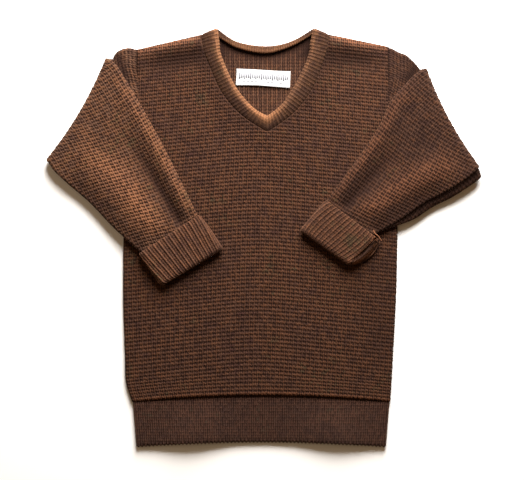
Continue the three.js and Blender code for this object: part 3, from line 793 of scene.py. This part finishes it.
def hem_rib(name, node, base, lift, front):
    """A ribbed hem: fine vertical ribs, ending in a row of small beads."""
    count = round(2 * HEM_EDGE["half"] / HEM_RIB_PITCH)
    rows = 24
    u = np.linspace(0, 1, count * 6 + 1)
    v = np.concatenate([[0, 0.01, 0.03], np.linspace(0.06, 0.93, rows - 7), [0.95, 0.97, 0.99, 1]])[:, None]
    left, right = LEFT_SIDE[0][0] + HEM_TUCK, RIGHT_SIDE[0][0] - HEM_TUCK
    seam_x = left + u * (right - left)
    edge_x = MIDDLE_X - 0.6 + (2 * u - 1) * HEM_EDGE["half"]
    x = seam_x + v * (edge_x - seam_x)
    seam_y, edge_y = arch_y(HEM_SEAM, seam_x) - GAP, arch_y(HEM_EDGE, edge_x) - 2 * GAP
    ribs = (u - 0.5) * count
    bead = wave(ribs * HEM_RIB_PITCH / HEM_BEAD_PITCH) * smooth((v - 0.92) / 0.06)
    y = seam_y + v * (edge_y - seam_y) - 0.7 * bead
    floor = base + lift * hem_wave(x) * smooth(v)
    side = np.minimum(x - x[:, :1], x[:, -1:] - x)
    ends = np.minimum(np.maximum(v * (seam_y - edge_y), 1.4), (1 - v) * (seam_y - edge_y))
    full = rounding(np.minimum(side, ends), RIB)
    raised = (0.12 * wave(ribs) * (1 - smooth((v - 0.9) / 0.05)) + 0.45 * bead) * full
    top = floor + 0.1 + (RIB - 0.1) * full + raised if front else floor + RIB - 0.1 + 0 * x
    under = floor + 0 * x if front else floor + (RIB - 0.3) * (1 - full)
    points, faces = sheet_shell(np.stack([x, y, top], axis=-1), np.stack([x, y, under], axis=-1))
    # painted shade along the sides, along the top of the beads and between the beads
    painted_shade = 0.2 * bump(side / 1.2) + 0.4 * bump((v - 0.925) / 0.014)
    painted_shade = painted_shade + 0.3 * (smooth((v - 0.92) / 0.06) - bead)
    if front:  # painted shade of a short slanting crease left of the middle
        at = (x - HEM_CREASE_SHADE["x"]) / HEM_CREASE_SHADE["length"]
        line_y = HEM_CREASE_SHADE["y"] - HEM_CREASE_SHADE["fall"] * np.clip(at, 0, 1)
        painted_shade = painted_shade + 0.6 * bump((y - line_y) / 1.1) * bump((at - 0.5) * HEM_CREASE_SHADE["length"] / 7)
    knit = listed(ribs, -y / 3.1, np.clip(painted_shade, 0, 0.8))
    return make_piece(name, node, points, faces, np.concatenate([knit, knit]), [HEM_WOOL])


# ---- neck --------------------------------------------------------------------------------------

def closed_section(section, count):
    """count points round a closed smooth section."""
    p = np.asarray(section, float)
    n = len(p)
    s = np.arange(count) / count * n
    i = s.astype(int)
    w = (s - i)[:, None]
    a, b, c, d = p[(i - 1) % n], p[i], p[(i + 1) % n], p[(i + 2) % n]
    square, cube = 2 * a - 5 * b + 4 * c - d, 3 * b - a - 3 * c + d
    return 0.5 * (2 * b + (c - a) * w + square * w ** 2 + cube * w ** 3)


def neck_band(name, band):
    """A ribbed band swept between its two edge lines."""
    stations, around = 360, 32
    fine = np.linspace(0, 1, 600)
    middle = (spline(band["inner"], fine) + spline(band["outer"], fine)) / 2
    travelled = np.r_[0, np.cumsum(np.linalg.norm(np.diff(middle, axis=0), axis=1))]
    at = np.linspace(0, travelled[-1], stations)
    t = np.interp(at, travelled, fine)
    a, b = spline(band["inner"], t), spline(band["outer"], t)
    shape = closed_section(band["section"], around)
    thin = np.ones(stations)
    for radius, away in zip(band["tips"], (at, travelled[-1] - at)):
        if radius:
            thin = np.minimum(thin, rounding(away + 0.05, radius))
    centre = shape[:, 1].mean()
    narrow = 0.5 + (shape[None, :, :1] - 0.5) * (0.55 + 0.45 * thin[:, None, None])
    plan = a[:, None, :] + narrow * (b - a)[:, None, :]
    z = centre + (shape[None, :, 1] - centre) * thin[:, None]
    points = np.concatenate([plan, z[..., None]], axis=2)
    ribs = at / band["pitch"]
    normals = grid_normals(points, shape[None, :, 1] - centre)
    points = points + normals * (band["rib"] * wave(ribs) * thin)[:, None, None]
    around_at = np.r_[0, np.cumsum(np.linalg.norm(np.diff(shape * [15, 1], axis=0), axis=1))]
    # painted shade on the outer side, and a painted highlight on the inner edge
    dark = band["shade"] * smooth((shape[:, 0] - 0.2) / 0.5)
    dark = dark - band["wear_and_highlight"] * bump((shape[:, 0] - 0.08) / 0.24)
    # painted highlight at the ends of the V bands, painted shade at the ends of the back band
    first, last, reach = band["ends_painted_light"]
    light = first * smooth(1 - at / reach) + last * smooth(1 - (travelled[-1] - at) / reach)
    light = light[:, None] * (1 - smooth((shape[:, 0] - 0.4) / 0.6))[None, :]
    painted_shade = np.clip(dark - light, -1, 0.9)
    knit = np.stack(np.broadcast_arrays(ribs[:, None], around_at / 3, painted_shade), axis=-1)
    return tube_piece(name, band["node"], points, knit, BAND_WOOL)


def tube_piece(name, node, points, knit, material):
    """A closed piece from a grid of sections, each end drawn together to its middle."""
    stations, around = points.shape[:2]
    ring = np.arange(stations * around).reshape(stations, around)
    ends = [points[0].mean(axis=0), points[-1].mean(axis=0)]
    flat = np.concatenate([points.reshape(-1, 3), ends])
    knit = np.concatenate([knit.reshape(-1, 3), [knit[0].mean(axis=0), knit[-1].mean(axis=0)]])
    faces = [grid_quads(ring, wrap_columns=True)]
    for line, middle in ((ring[0], ring.size), (ring[-1], ring.size + 1)):
        faces.append(np.stack([line, np.roll(line, -1), np.full(around, middle)], axis=1))
    return make_piece(name, node, flat, faces, knit, [material])


def label():
    """The woven label, sewn down at its two short ends, with a small woven pattern on it."""
    rows, columns = 22, 60
    turn = math.radians(LABEL["tilt"])
    u, v = np.meshgrid(np.linspace(0, 1, columns), np.linspace(0, 1, rows))
    end_fold = 1.2 * bump((u - 1) / 0.05) * 0.5
    x = (u - 0.5) * LABEL["width"]
    y = (0.5 - v) * LABEL["height"] * (1 - 0.04 * np.sin(np.pi * u)) + 0.35 * np.sin(5 * u)
    stand = LABEL["lift"] * smooth(v) * np.sin(np.pi * u) + end_fold
    place = np.stack([x * math.cos(turn) - y * math.sin(turn) + LABEL["x"],
                      x * math.sin(turn) + y * math.cos(turn) + LABEL["y"]], axis=-1)
    low = np.concatenate([place, (FRONT_Z + 0.1 + stand)[..., None]], axis=2)
    high = low + [0, 0, LABEL["thick"]]
    points, faces = sheet_shell(high, low)
    edge = np.minimum(np.minimum(u, 1 - u) * LABEL["width"], np.minimum(v, 1 - v) * LABEL["height"])
    knit = listed(u, v, 0.6 * bump(edge / 0.7))
    piece = make_piece("label_tape", "label", points, faces, np.concatenate([knit, knit]), [label_tape()])
    return piece, label_pattern(high)


def label_pattern(face):
    """Two lines of short woven bars on the label: a border pattern, with no letters."""
    rows, columns = face.shape[:2]

    def place(u, v, up):
        j, i = v * (rows - 1), u * (columns - 1)
        weights = np.outer([1 - j % 1, j % 1], [1 - i % 1, i % 1])[..., None]
        corners = face[int(j):int(j) + 2, int(i):int(i) + 2]
        return (weights * corners).sum(axis=(0, 1)) + [0, 0, up]

    points, faces = [], []
    bars = [(0.06 + 0.034 * k, 0.42, 0.0105, 0.2 if k % 3 == 0 else 0.13) for k in range(27)]
    bars += [(0.15 + 0.075 * k, 0.75, 0.024, 0.022) for k in range(10)]
    for u, v, half_width, half_height in bars:
        first = len(points)
        for up in (0.02, 0.1):
            for du, dv in ((-1, -1), (1, -1), (1, 1), (-1, 1)):
                points.append(place(u + du * half_width, v + dv * half_height, up))
        faces += [[first + k for k in quad] for quad in (
            (4, 5, 6, 7), (3, 2, 1, 0), (0, 1, 5, 4), (1, 2, 6, 5), (2, 3, 7, 6), (3, 0, 4, 7))]
    return make_piece("label_pattern", None, points, [np.array(faces)], np.zeros((len(points), 3)),
                      [label_thread()])


# ---- sleeves -----------------------------------------------------------------------------------

class Fold:
    """The fold of a sleeve: it maps the open sleeve, flat in the plane of its upper part, to where
    it lies once it is folded under along a slightly hollow line."""

    def __init__(self, s):
        self.start = np.array(s["over_top"][0], float)
        line = np.array(s["over_low"][0], float) - self.start
        self.length = np.linalg.norm(line)
        self.along = line / self.length
        self.out = np.array(s["fold_out"])
        self.bow = s["bow"]

    def hollow(self, q):
        q = np.clip(q, 0, 1)
        return self.bow * 4 * q * (1 - q)

    def split(self, p):
        """Place along the fold line, from 0 to 1, and distance beyond it."""
        rel = p - self.start
        q = rel @ self.along / self.length
        return q, rel @ self.out + self.hollow(q)

    def open(self, p):
        """Where a point of the lower part lies once the sleeve is opened out."""
        q, s = self.split(p)
        beyond = math.pi * FOLD_RADIUS - s - self.hollow(q)
        return self.start + q[:, None] * self.length * self.along + beyond[:, None] * self.out

    def lay(self, p, h):
        """Where a point p of the open sleeve comes to lie, h above its middle surface."""
        q, s = self.split(p)
        turn = np.clip(s / FOLD_RADIUS, 0, math.pi)
        radius = FOLD_RADIUS + h
        under = s - math.pi * FOLD_RADIUS
        side = np.where(s < 0, s, np.where(under > 0, -under, radius * np.sin(turn)))
        z = FOLD_Z + radius * np.cos(turn)
        flat = self.start + q[..., None] * self.length * self.along + \
            (side - self.hollow(q))[..., None] * self.out
        return np.concatenate([flat, z[..., None]], axis=-1), s


def edge_line(fold, under, over):
    """One edge of the open sleeve, from the armhole to the cuff."""
    t = np.linspace(0, 1, 80)
    lower = fold.open(spline(under, t))
    return np.concatenate([lower, spline(over, t)])


def end_profile(half, reach, count):
    """Round one edge of a flat tube, from its upper face to its lower: distance out, and height. Where
    the lower part reaches out beyond the upper, a groove parts the two."""
    angle = np.linspace(math.pi / 2, -math.pi / 2, count)
    out = half * np.cos(angle)
    height = half * np.sin(angle)
    past = reach[:, None] * smooth((0.25 - np.sin(angle)) / 0.4)[None, :]
    notch = -0.9 * smooth(reach / 3)[:, None] * bump((np.sin(angle) - 0.12) / 0.22)[None, :]
    return out[None, :] + past + notch, np.broadcast_to(height, (len(reach), count))


def flat_loop(width, reach, half, near, far, face):
    """Distance across and height of the points round a flat tube, half its thickness from its middle. near
    and far are the profiles of its two edges, and its back reaches out beyond its face."""
    share = np.linspace(0, 1, face)
    face_at = width[:, None] * share[None, 1:-1]
    back_at = (width + reach)[:, None] * share[None, -2:0:-1]
    distance = [-half * near[0][:, ::-1], face_at, width[:, None] + far[0], back_at]
    height = [half * near[1][:, ::-1], half + 0 * face_at, far[1], 0 * back_at - half]
    return np.concatenate(distance, axis=1), np.concatenate(height, axis=1)


def off_line(points, line):
    """Distance in plan from the straight line between two places."""
    start, end = np.array(line, float)
    along = end - start
    flat = points[..., :2] - start
    share = np.clip(flat @ along / (along @ along), 0, 1)
    return np.linalg.norm(flat - share[..., None] * along, axis=-1)


def row_slant(side, share):
    """How far the knitted rows have run ahead of the mesh rows, as a share of the sleeve's width."""
    at = np.linspace(0, 1, 60)
    if side == "left":
        slope = 0.04 + 0.34 * smooth(at / 0.62) - 0.12 * smooth((at - 0.7) / 0.3)
    else:
        slope = 0.32 * at
    run = np.r_[0, np.cumsum((slope[1:] + slope[:-1]) / 2)] / (len(at) - 1)
    return np.interp(share, at, run)


def sleeve(side, s):
    """A sleeve: one tube of waffle knit, folded under, with its own creases on the upper part."""
    fold = Fold(s)
    top = edge_line(fold, s["under_top"], s["over_top"])
    low = edge_line(fold, s["under_low"], s["over_low"])
    length = (line_length(top) + line_length(low)) / 2
    rows = round(length / ROW)
    stations = rows * SAMPLES + 1
    along = np.arange(stations) / SAMPLES
    tau = along / rows
    a, b = by_length(top, stations), by_length(low, stations)
    across = unit(b - a)
    # Where each edge line comes out from the fold, as a share of its length.
    out_top, out_low = [1 - line_length(spline(over, np.linspace(0, 1, 80))) / line_length(whole)
                        for over, whole in ((s["over_top"], top), (s["over_low"], low))]
    at_elbow = (tau - out_low) * length + FOLD_RADIUS * math.pi / 2
    rounded = s["elbow"] * bump(at_elbow / 9)
    at_tip = (tau - out_top) * length + FOLD_RADIUS * math.pi / 2
    tucked = s["tip"] * bump((at_tip - 3) / 9)
    a = a + across * tucked[:, None]
    width = np.linalg.norm(b - a, axis=1) - 2 * TUBE - rounded
    face, cap = 112, 13
    t_low = (tau - out_low) / (1 - out_low)
    reach = s["step"] * smooth((t_low + 0.16) / 0.2) * (1 - smooth((t_low - 0.6) / 0.38))
    near, far = end_profile(1.0, np.zeros(stations), cap), end_profile(TUBE, reach, cap)
    distance, height = flat_loop(width, reach, TUBE, near, far, face)
    share = np.clip(distance / width[:, None], 0, 1)
    over = (tau[:, None] - (out_top + share * (out_low - out_top)))
    t = over / (1 - (out_top + share * (out_low - out_top)))
    stitches = distance / WALE * (1 if side == "left" else -1)
    knitted = along[:, None] + width[:, None] * row_slant(side, share) / ROW
    ends = smooth(np.minimum(tau, 1 - tau) * length / 2)[:, None]
    thick = 1 + RELIEF * (waffle(stitches, knitted, 0.0) - 0.5) * ends / TUBE
    rise = (CUFF_Z - FOLD_Z - FOLD_RADIUS) * smooth((t - 0.45) / 0.5)
    swell = smooth(t * 3) * (1 - smooth((t - 0.82) / 0.18))
    crease = creases(side, t, share) * smooth(t * 3) * (1 - smooth((t - 0.94) / 0.06))
    ridge_at = s["ridge"] + s["drift"] * (t - 1)
    lift = rise + crease + swell * (SLEEVE_RIDGE * bump((share - ridge_at) / 0.17)
                                    + EDGE_RIDGE * bump((share - 0.05) / 0.08))
    seam_pull = s["seam_pull"] * (1 - smooth(tau * length / 3))[:, None]
    hole = armhole_bend(s, share) * (1 - smooth(tau / out_top))[:, None] + seam_pull
    inner_distance = np.clip(distance, 0.2, (width + reach)[:, None] - 0.2)
    outer = lay_ring(fold, a, across, distance, height * thick, lift, hole)
    inner = lay_ring(fold, a, across, inner_distance, height * HOLLOW / TUBE, lift, hole)
    beyond = distance - width[:, None]
    # painted shade in the groove between the two layers, where the lower one shows
    groove = 0.85 * bump((np.abs(height) - 0.15 * TUBE) / 0.9) * smooth(beyond / 1.5) * \
        smooth(reach / 2)[:, None]
    # painted shade at both ends, where the sleeve meets the body and the cuff
    seam = 0.6 * bump(tau * length / 1.8)[:, None] + 0.3 * bump((1 - tau) * length / 3)[:, None]
    # painted shade in the troughs of the creases
    hollow = 0.27 * np.maximum(0, -crease) * (height > 0)
    # painted highlight along the raised fold and along the inner edge
    wear_and_highlight = 0.5 * bump((share - ridge_at) / 0.17) + 0.35 * bump((share - 0.04) / 0.05)
    wear_and_highlight = wear_and_highlight * swell * (height > 0)
    under = (over < 0) & (height < 0)
    # painted shade in the pocket inside the fold
    pocket = 0.9 * bump(off_line(outer, s["pocket"]) / 5.5) * under
    # painted highlight on the lower layer where it shows below the upper
    lit = 0.9 * smooth((beyond - 2) / 3) * smooth(reach / 3)[:, None] * (height < 0)
    painted_shade = np.clip(groove + seam + hollow + pocket - wear_and_highlight - lit, -0.9, 0.9)
    knit = np.stack([stitches, knitted, painted_shade], axis=-1)
    # The inside has fewer points than the outside, and a strip of triangles joins them at each end.
    around = outer.shape[1]
    rows_kept = np.unique(np.r_[np.arange(0, stations, HIDDEN_STEP), stations - 1])
    columns_kept = np.arange(0, around, 5)
    keep = np.ix_(rows_kept, columns_kept)
    outside = np.arange(stations * around).reshape(stations, around)
    inside = np.arange(len(rows_kept) * len(columns_kept)).reshape(len(rows_kept), -1) + outside.size
    faces = [grid_quads(outside, wrap_columns=True), grid_quads(inside, wrap_columns=True)]
    for k in (0, -1):
        faces.append(zip_lines(np.r_[outside[k], outside[k, 0]], np.r_[inside[k], inside[k, 0]],
                               np.r_[columns_kept, around]))
    points = np.concatenate([outer.reshape(-1, 3), inner[keep].reshape(-1, 3)])
    knit = np.concatenate([knit.reshape(-1, 3), knit[keep].reshape(-1, 3)])
    return make_piece(f"sleeve_{side}_knit", f"sleeve_{side}", points, faces, knit, [SLEEVE_WOOL[side]])


def lay_ring(fold, a, across, distance, height, lift, hole):
    """The rings of one wall of a sleeve, laid over its fold."""
    flat = a[:, None, :] + across[:, None, :] * (TUBE + distance)[..., None]
    placed, beyond = fold.lay(flat, height)
    placed[..., 2] += lift * smooth(-beyond / 12)
    placed[..., 0] += hole
    placed[..., 2] = np.maximum(placed[..., 2], 0.02)
    return placed


def armhole_bend(s, share):
    """How far the armhole stands inside the straight line between its ends."""
    hole = spline(s["armhole"], np.linspace(1, 0, 60))
    straight = hole[0, 0] + np.linspace(0, 1, 60) * (hole[-1, 0] - hole[0, 0])
    return np.interp(share, np.linspace(0, 1, 60), hole[:, 0] - straight)


# Soft creases of the upper part of each sleeve: height, place and reach across it, how it goes along it,
# and where it starts or has its middle, over what share of the length.
CREASES = {
    "left": [(-3.2, 0.25, 0.085, smooth, 0.2, 0.5), (-1.4, 0.5, 0.14, bump, 0.22, 0.14),
             (1.2, 0.8, 0.12, bump, 0.45, 0.25), (-1.8, 1, 0.12, smooth, 0, 1 / 3)],
    "right": [(-2.8, 0.28, 0.1, smooth, 0.25, 0.5), (-1.2, 0.45, 0.12, bump, 0.18, 0.12),
              (-2.2, 1, 0.16, smooth, 0.1, 0.4)],
}


def creases(side, t, share):
    """Height of the creases of a sleeve's upper part."""
    return sum(height * bump((share - across) / reach) * along((t - start) / length)
               for height, across, reach, along, start, length in CREASES[side])


def cuff(side, s):
    """A cuff: one wall of ribbing, doubled back over the end of the sleeve."""
    inner = np.array(s["cuff_inner"], float)
    outer = np.array(s["cuff_outer"], float)
    length = (np.linalg.norm(inner[1] - inner[0]) + np.linalg.norm(outer[1] - outer[0])) / 2
    seam = (CUFF_OVERLAP + GAP) / length
    turned = HOLLOW + RIB + GAP
    outside = turned + RIB
    flare = TUBE + GAP - turned
    bend = 1.2 / length
    profile = np.array([
        [seam, HOLLOW], [0.5, HOLLOW], [1 - bend, HOLLOW + 0.2], [1, HOLLOW + RIB / 2],
        [1 + bend, (turned + HOLLOW + RIB) / 2], [1, outside - RIB / 2], [1 - 1.5 * bend, outside],
        [0.5, outside + 0.4], [seam * 2, outside + flare], [0.01, outside + flare - 0.3],
        [-0.012, outside + flare - 1.1], [0.01, turned + flare + 0.1],
        [seam * 2, turned + flare], [0.5, turned], [1 - 2 * bend, turned - GAP / 2],
        [0.5, HOLLOW + RIB], [seam, HOLLOW + RIB], [seam, HOLLOW]])
    path = by_length(profile * [length, 1], 110)[:-1]
    rings, face, cap = len(path), 118, 33
    t, half = path[:, 0] / length, path[:, 1]
    a = inner[0] + t[:, None] * (inner[1] - inner[0])
    b = outer[0] + t[:, None] * (outer[1] - outer[0])
    across = unit(b - a)
    inset = outside + flare
    width = np.linalg.norm(b - a, axis=1) - 2 * inset
    mouth = s["cuff_mouth"] * np.sqrt(np.clip(np.sin(math.pi * np.clip(t * 0.96 + 0.06, 0, 1)), 0, 1))
    round_out, round_height = end_profile(1.0, np.zeros(rings), cap)
    angle = np.linspace(math.pi / 2, -math.pi / 2, cap)
    past = mouth[:, None] * smooth((0.3 - np.sin(angle)) / 0.7)[None, :]
    sunk = 0.5 * smooth(mouth / 3)[:, None] * bump((np.sin(angle) + 0.05) / 0.28)[None, :]
    far = (half[:, None] * round_out + past, half[:, None] * (round_height - sunk))
    distance, height = flat_loop(width, mouth, half[:, None], (round_out, round_height), far, face)
    plan = a[:, None, :] + across[:, None, :] * (inset + distance)[..., None]
    droop = 0.7 * smooth(t)[:, None] * np.ones_like(distance)
    if s["cuff_mouth"]:  # the lower part turns up in a rim
        rim_at = (distance - width[:, None] - mouth[:, None] + 1.5) / 2.4
        droop = droop - 5 * bump(rim_at) * smooth(mouth / 3)[:, None] * (height < 2)
    points = np.concatenate([plan, (CUFF_Z + height - droop)[..., None]], axis=2)
    # Ribs are counted along the loop from the middle of its upper face, so they carry on round both edges.
    after = np.roll(distance, -1, axis=1) - distance
    fall = np.roll(height, -1, axis=1) - height
    steps = np.cumsum(np.hypot(after, fall), axis=1)
    total = steps[:, -1:]
    around_at = steps - steps[:, cap + face // 2][:, None]
    around_at = (around_at + total / 2) % total - total / 2
    count = round(float(np.median(total)) / s["cuff_pitch"])
    ribs = around_at / total * count * (1 + s["cuff_fan"] * (t[:, None] - 0.5))
    ribs = ribs + s["cuff_lean"] * path[:, :1] / s["cuff_pitch"]
    normals = grid_normals(points, np.sign(height) * np.sign(half - 3)[:, None], wrap_rows=True)
    outer_wall = smooth((half - turned - 0.6) / 1.2)
    ridge = s["cuff_fine"] * wave(2 * ribs) + s["cuff_groups"] * wave(ribs) - 0.15
    points = points + normals * (ridge * outer_wall[:, None])[..., None]
    # painted shade on the inner wall, under the turned-back rib
    painted_inside_shade = 0.9 * (1 - smooth((half - HOLLOW - 1.2) / 1.5))[:, None]
    painted_mouth_shade = np.zeros_like(distance)
    # painted shade in the open mouth of the sleeve, and a painted highlight on its rim
    if s["cuff_mouth"]:
        beyond = distance - width[:, None]
        lens = smooth(mouth / 3)[:, None] * smooth((beyond - 0.3) / 1.0) * \
            (1 - smooth((beyond - mouth[:, None] + 1.8) / 1.4)) * (height < 3)
        painted_mouth_shade = 0.95 * lens * (height > -4.4) - 1.0 * bump(rim_at / 1.3) * smooth(mouth / 3)[:, None]
    # painted shade towards the turned edge at the far end
    painted_end_shade = 0.3 * bump((t - 1) / 0.06)[:, None]
    # painted shade between the ribs
    between = s["cuff_dark"] * (1 - wave(ribs * s["cuff_split"])) * outer_wall[:, None]
    painted_shade = np.clip(painted_inside_shade + painted_mouth_shade + painted_end_shade + between, -0.9, 0.97)
    knit = listed(ribs, path[:, :1] / 3.1, painted_shade)
    numbers = np.arange(distance.size).reshape(distance.shape)
    faces = [grid_quads(numbers, wrap_rows=True, wrap_columns=True)]
    return make_piece(f"cuff_{side}_rib", f"cuff_{side}", points.reshape(-1, 3), faces, knit, [CUFF_WOOL])


def loose_thread():
    """A short end of yarn that hangs from the corner of the right cuff."""
    at = np.linspace(0, 1, 40)
    line = spline([[113.8, 7.5, 18], [115.4, 4, 18.6], [119, 1, 17.6], [122.2, -3.6, 15.8]], at)
    along = unit(np.gradient(line, axis=0))
    side = unit(np.cross(along, [0, 0, 1.0]))
    up = np.cross(side, along)
    turn = np.linspace(0, 2 * math.pi, 8, endpoint=False)
    ring = np.cos(turn)[None, :, None] * side[:, None] + np.sin(turn)[None, :, None] * up[:, None]
    points = line[:, None] + 0.6 * ring
    knit = np.stack(np.broadcast_arrays(0 * at[:, None], 0 * turn[None, :], -0.5), axis=-1)
    return tube_piece("cuff_right_thread", None, points, knit, CUFF_WOOL)


# ---- the sweater -------------------------------------------------------------------------------

front = front_panel()
back = back_panel()
hem_front = hem_rib("hem_front_rib", "hem_rib_front", RIB + GAP, HEM_LIFT_FRONT, True)
hem_back = hem_rib("hem_back_rib", "hem_rib_back", 0, HEM_LIFT_BACK, False)
for place, band in BANDS.items():
    neck_band(f"neckband_{place}_rib", band)
tape, tape_pattern = label()
sleeves = {side: sleeve(side, s) for side, s in SLEEVES.items()}
cuffs = {side: cuff(side, s) for side, s in SLEEVES.items()}
thread = loose_thread()


# ---- floor, light and camera -------------------------------------------------------------------

def floor():
    """A sheet of white paper, far larger than the view."""
    mesh = bpy.data.meshes.new("floor")
    reach = 3.0
    mesh.from_pydata([(-reach, -reach, 0), (reach, -reach, 0), (reach, reach, 0), (-reach, reach, 0)], [],
                     [(0, 1, 2, 3)])
    mesh.materials.append(paper_floor())
    plane = add("floor", mesh)


def lamp(name, place, size, power, colour):
    """A round soft lamp that shines at the middle of the floor."""
    data = bpy.data.lights.new(name, "AREA")
    data.shape = "DISK"
    data.size = size
    data.energy = power
    data.color = colour
    light = add(name, data, place)
    light.rotation_euler = (-Vector(place)).to_track_quat("-Z", "Y").to_euler()


def camera():
    """Straight above, with the neck at the top. Sizes are in metres."""
    data = bpy.data.cameras.new("camera")
    distance = 2.2
    frame_width = 0.5523
    focus_height = 0.008
    data.sensor_width = 36  # mm
    data.lens = data.sensor_width * (distance - focus_height) / frame_width
    bpy.context.scene.camera = add("camera", data, (-0.0016, -0.0028, distance))


floor()
lamp("key", (0.14, 0.85, 0.49), 0.8, 42, (1.0, 1.0, 1.0))
lamp("fill", (-1.2, 0.3, 1.3), 1.2, 2.4, (1.0, 0.82, 0.62))
world = bpy.data.worlds.new("studio")
world.use_nodes = True
world.node_tree.nodes["Background"].inputs["Color"].default_value = (1, 0.66, 0.36, 1)
world.node_tree.nodes["Background"].inputs["Strength"].default_value = 0.16
bpy.context.scene.world = world
bpy.context.scene.view_settings.view_transform = "Standard"
camera()
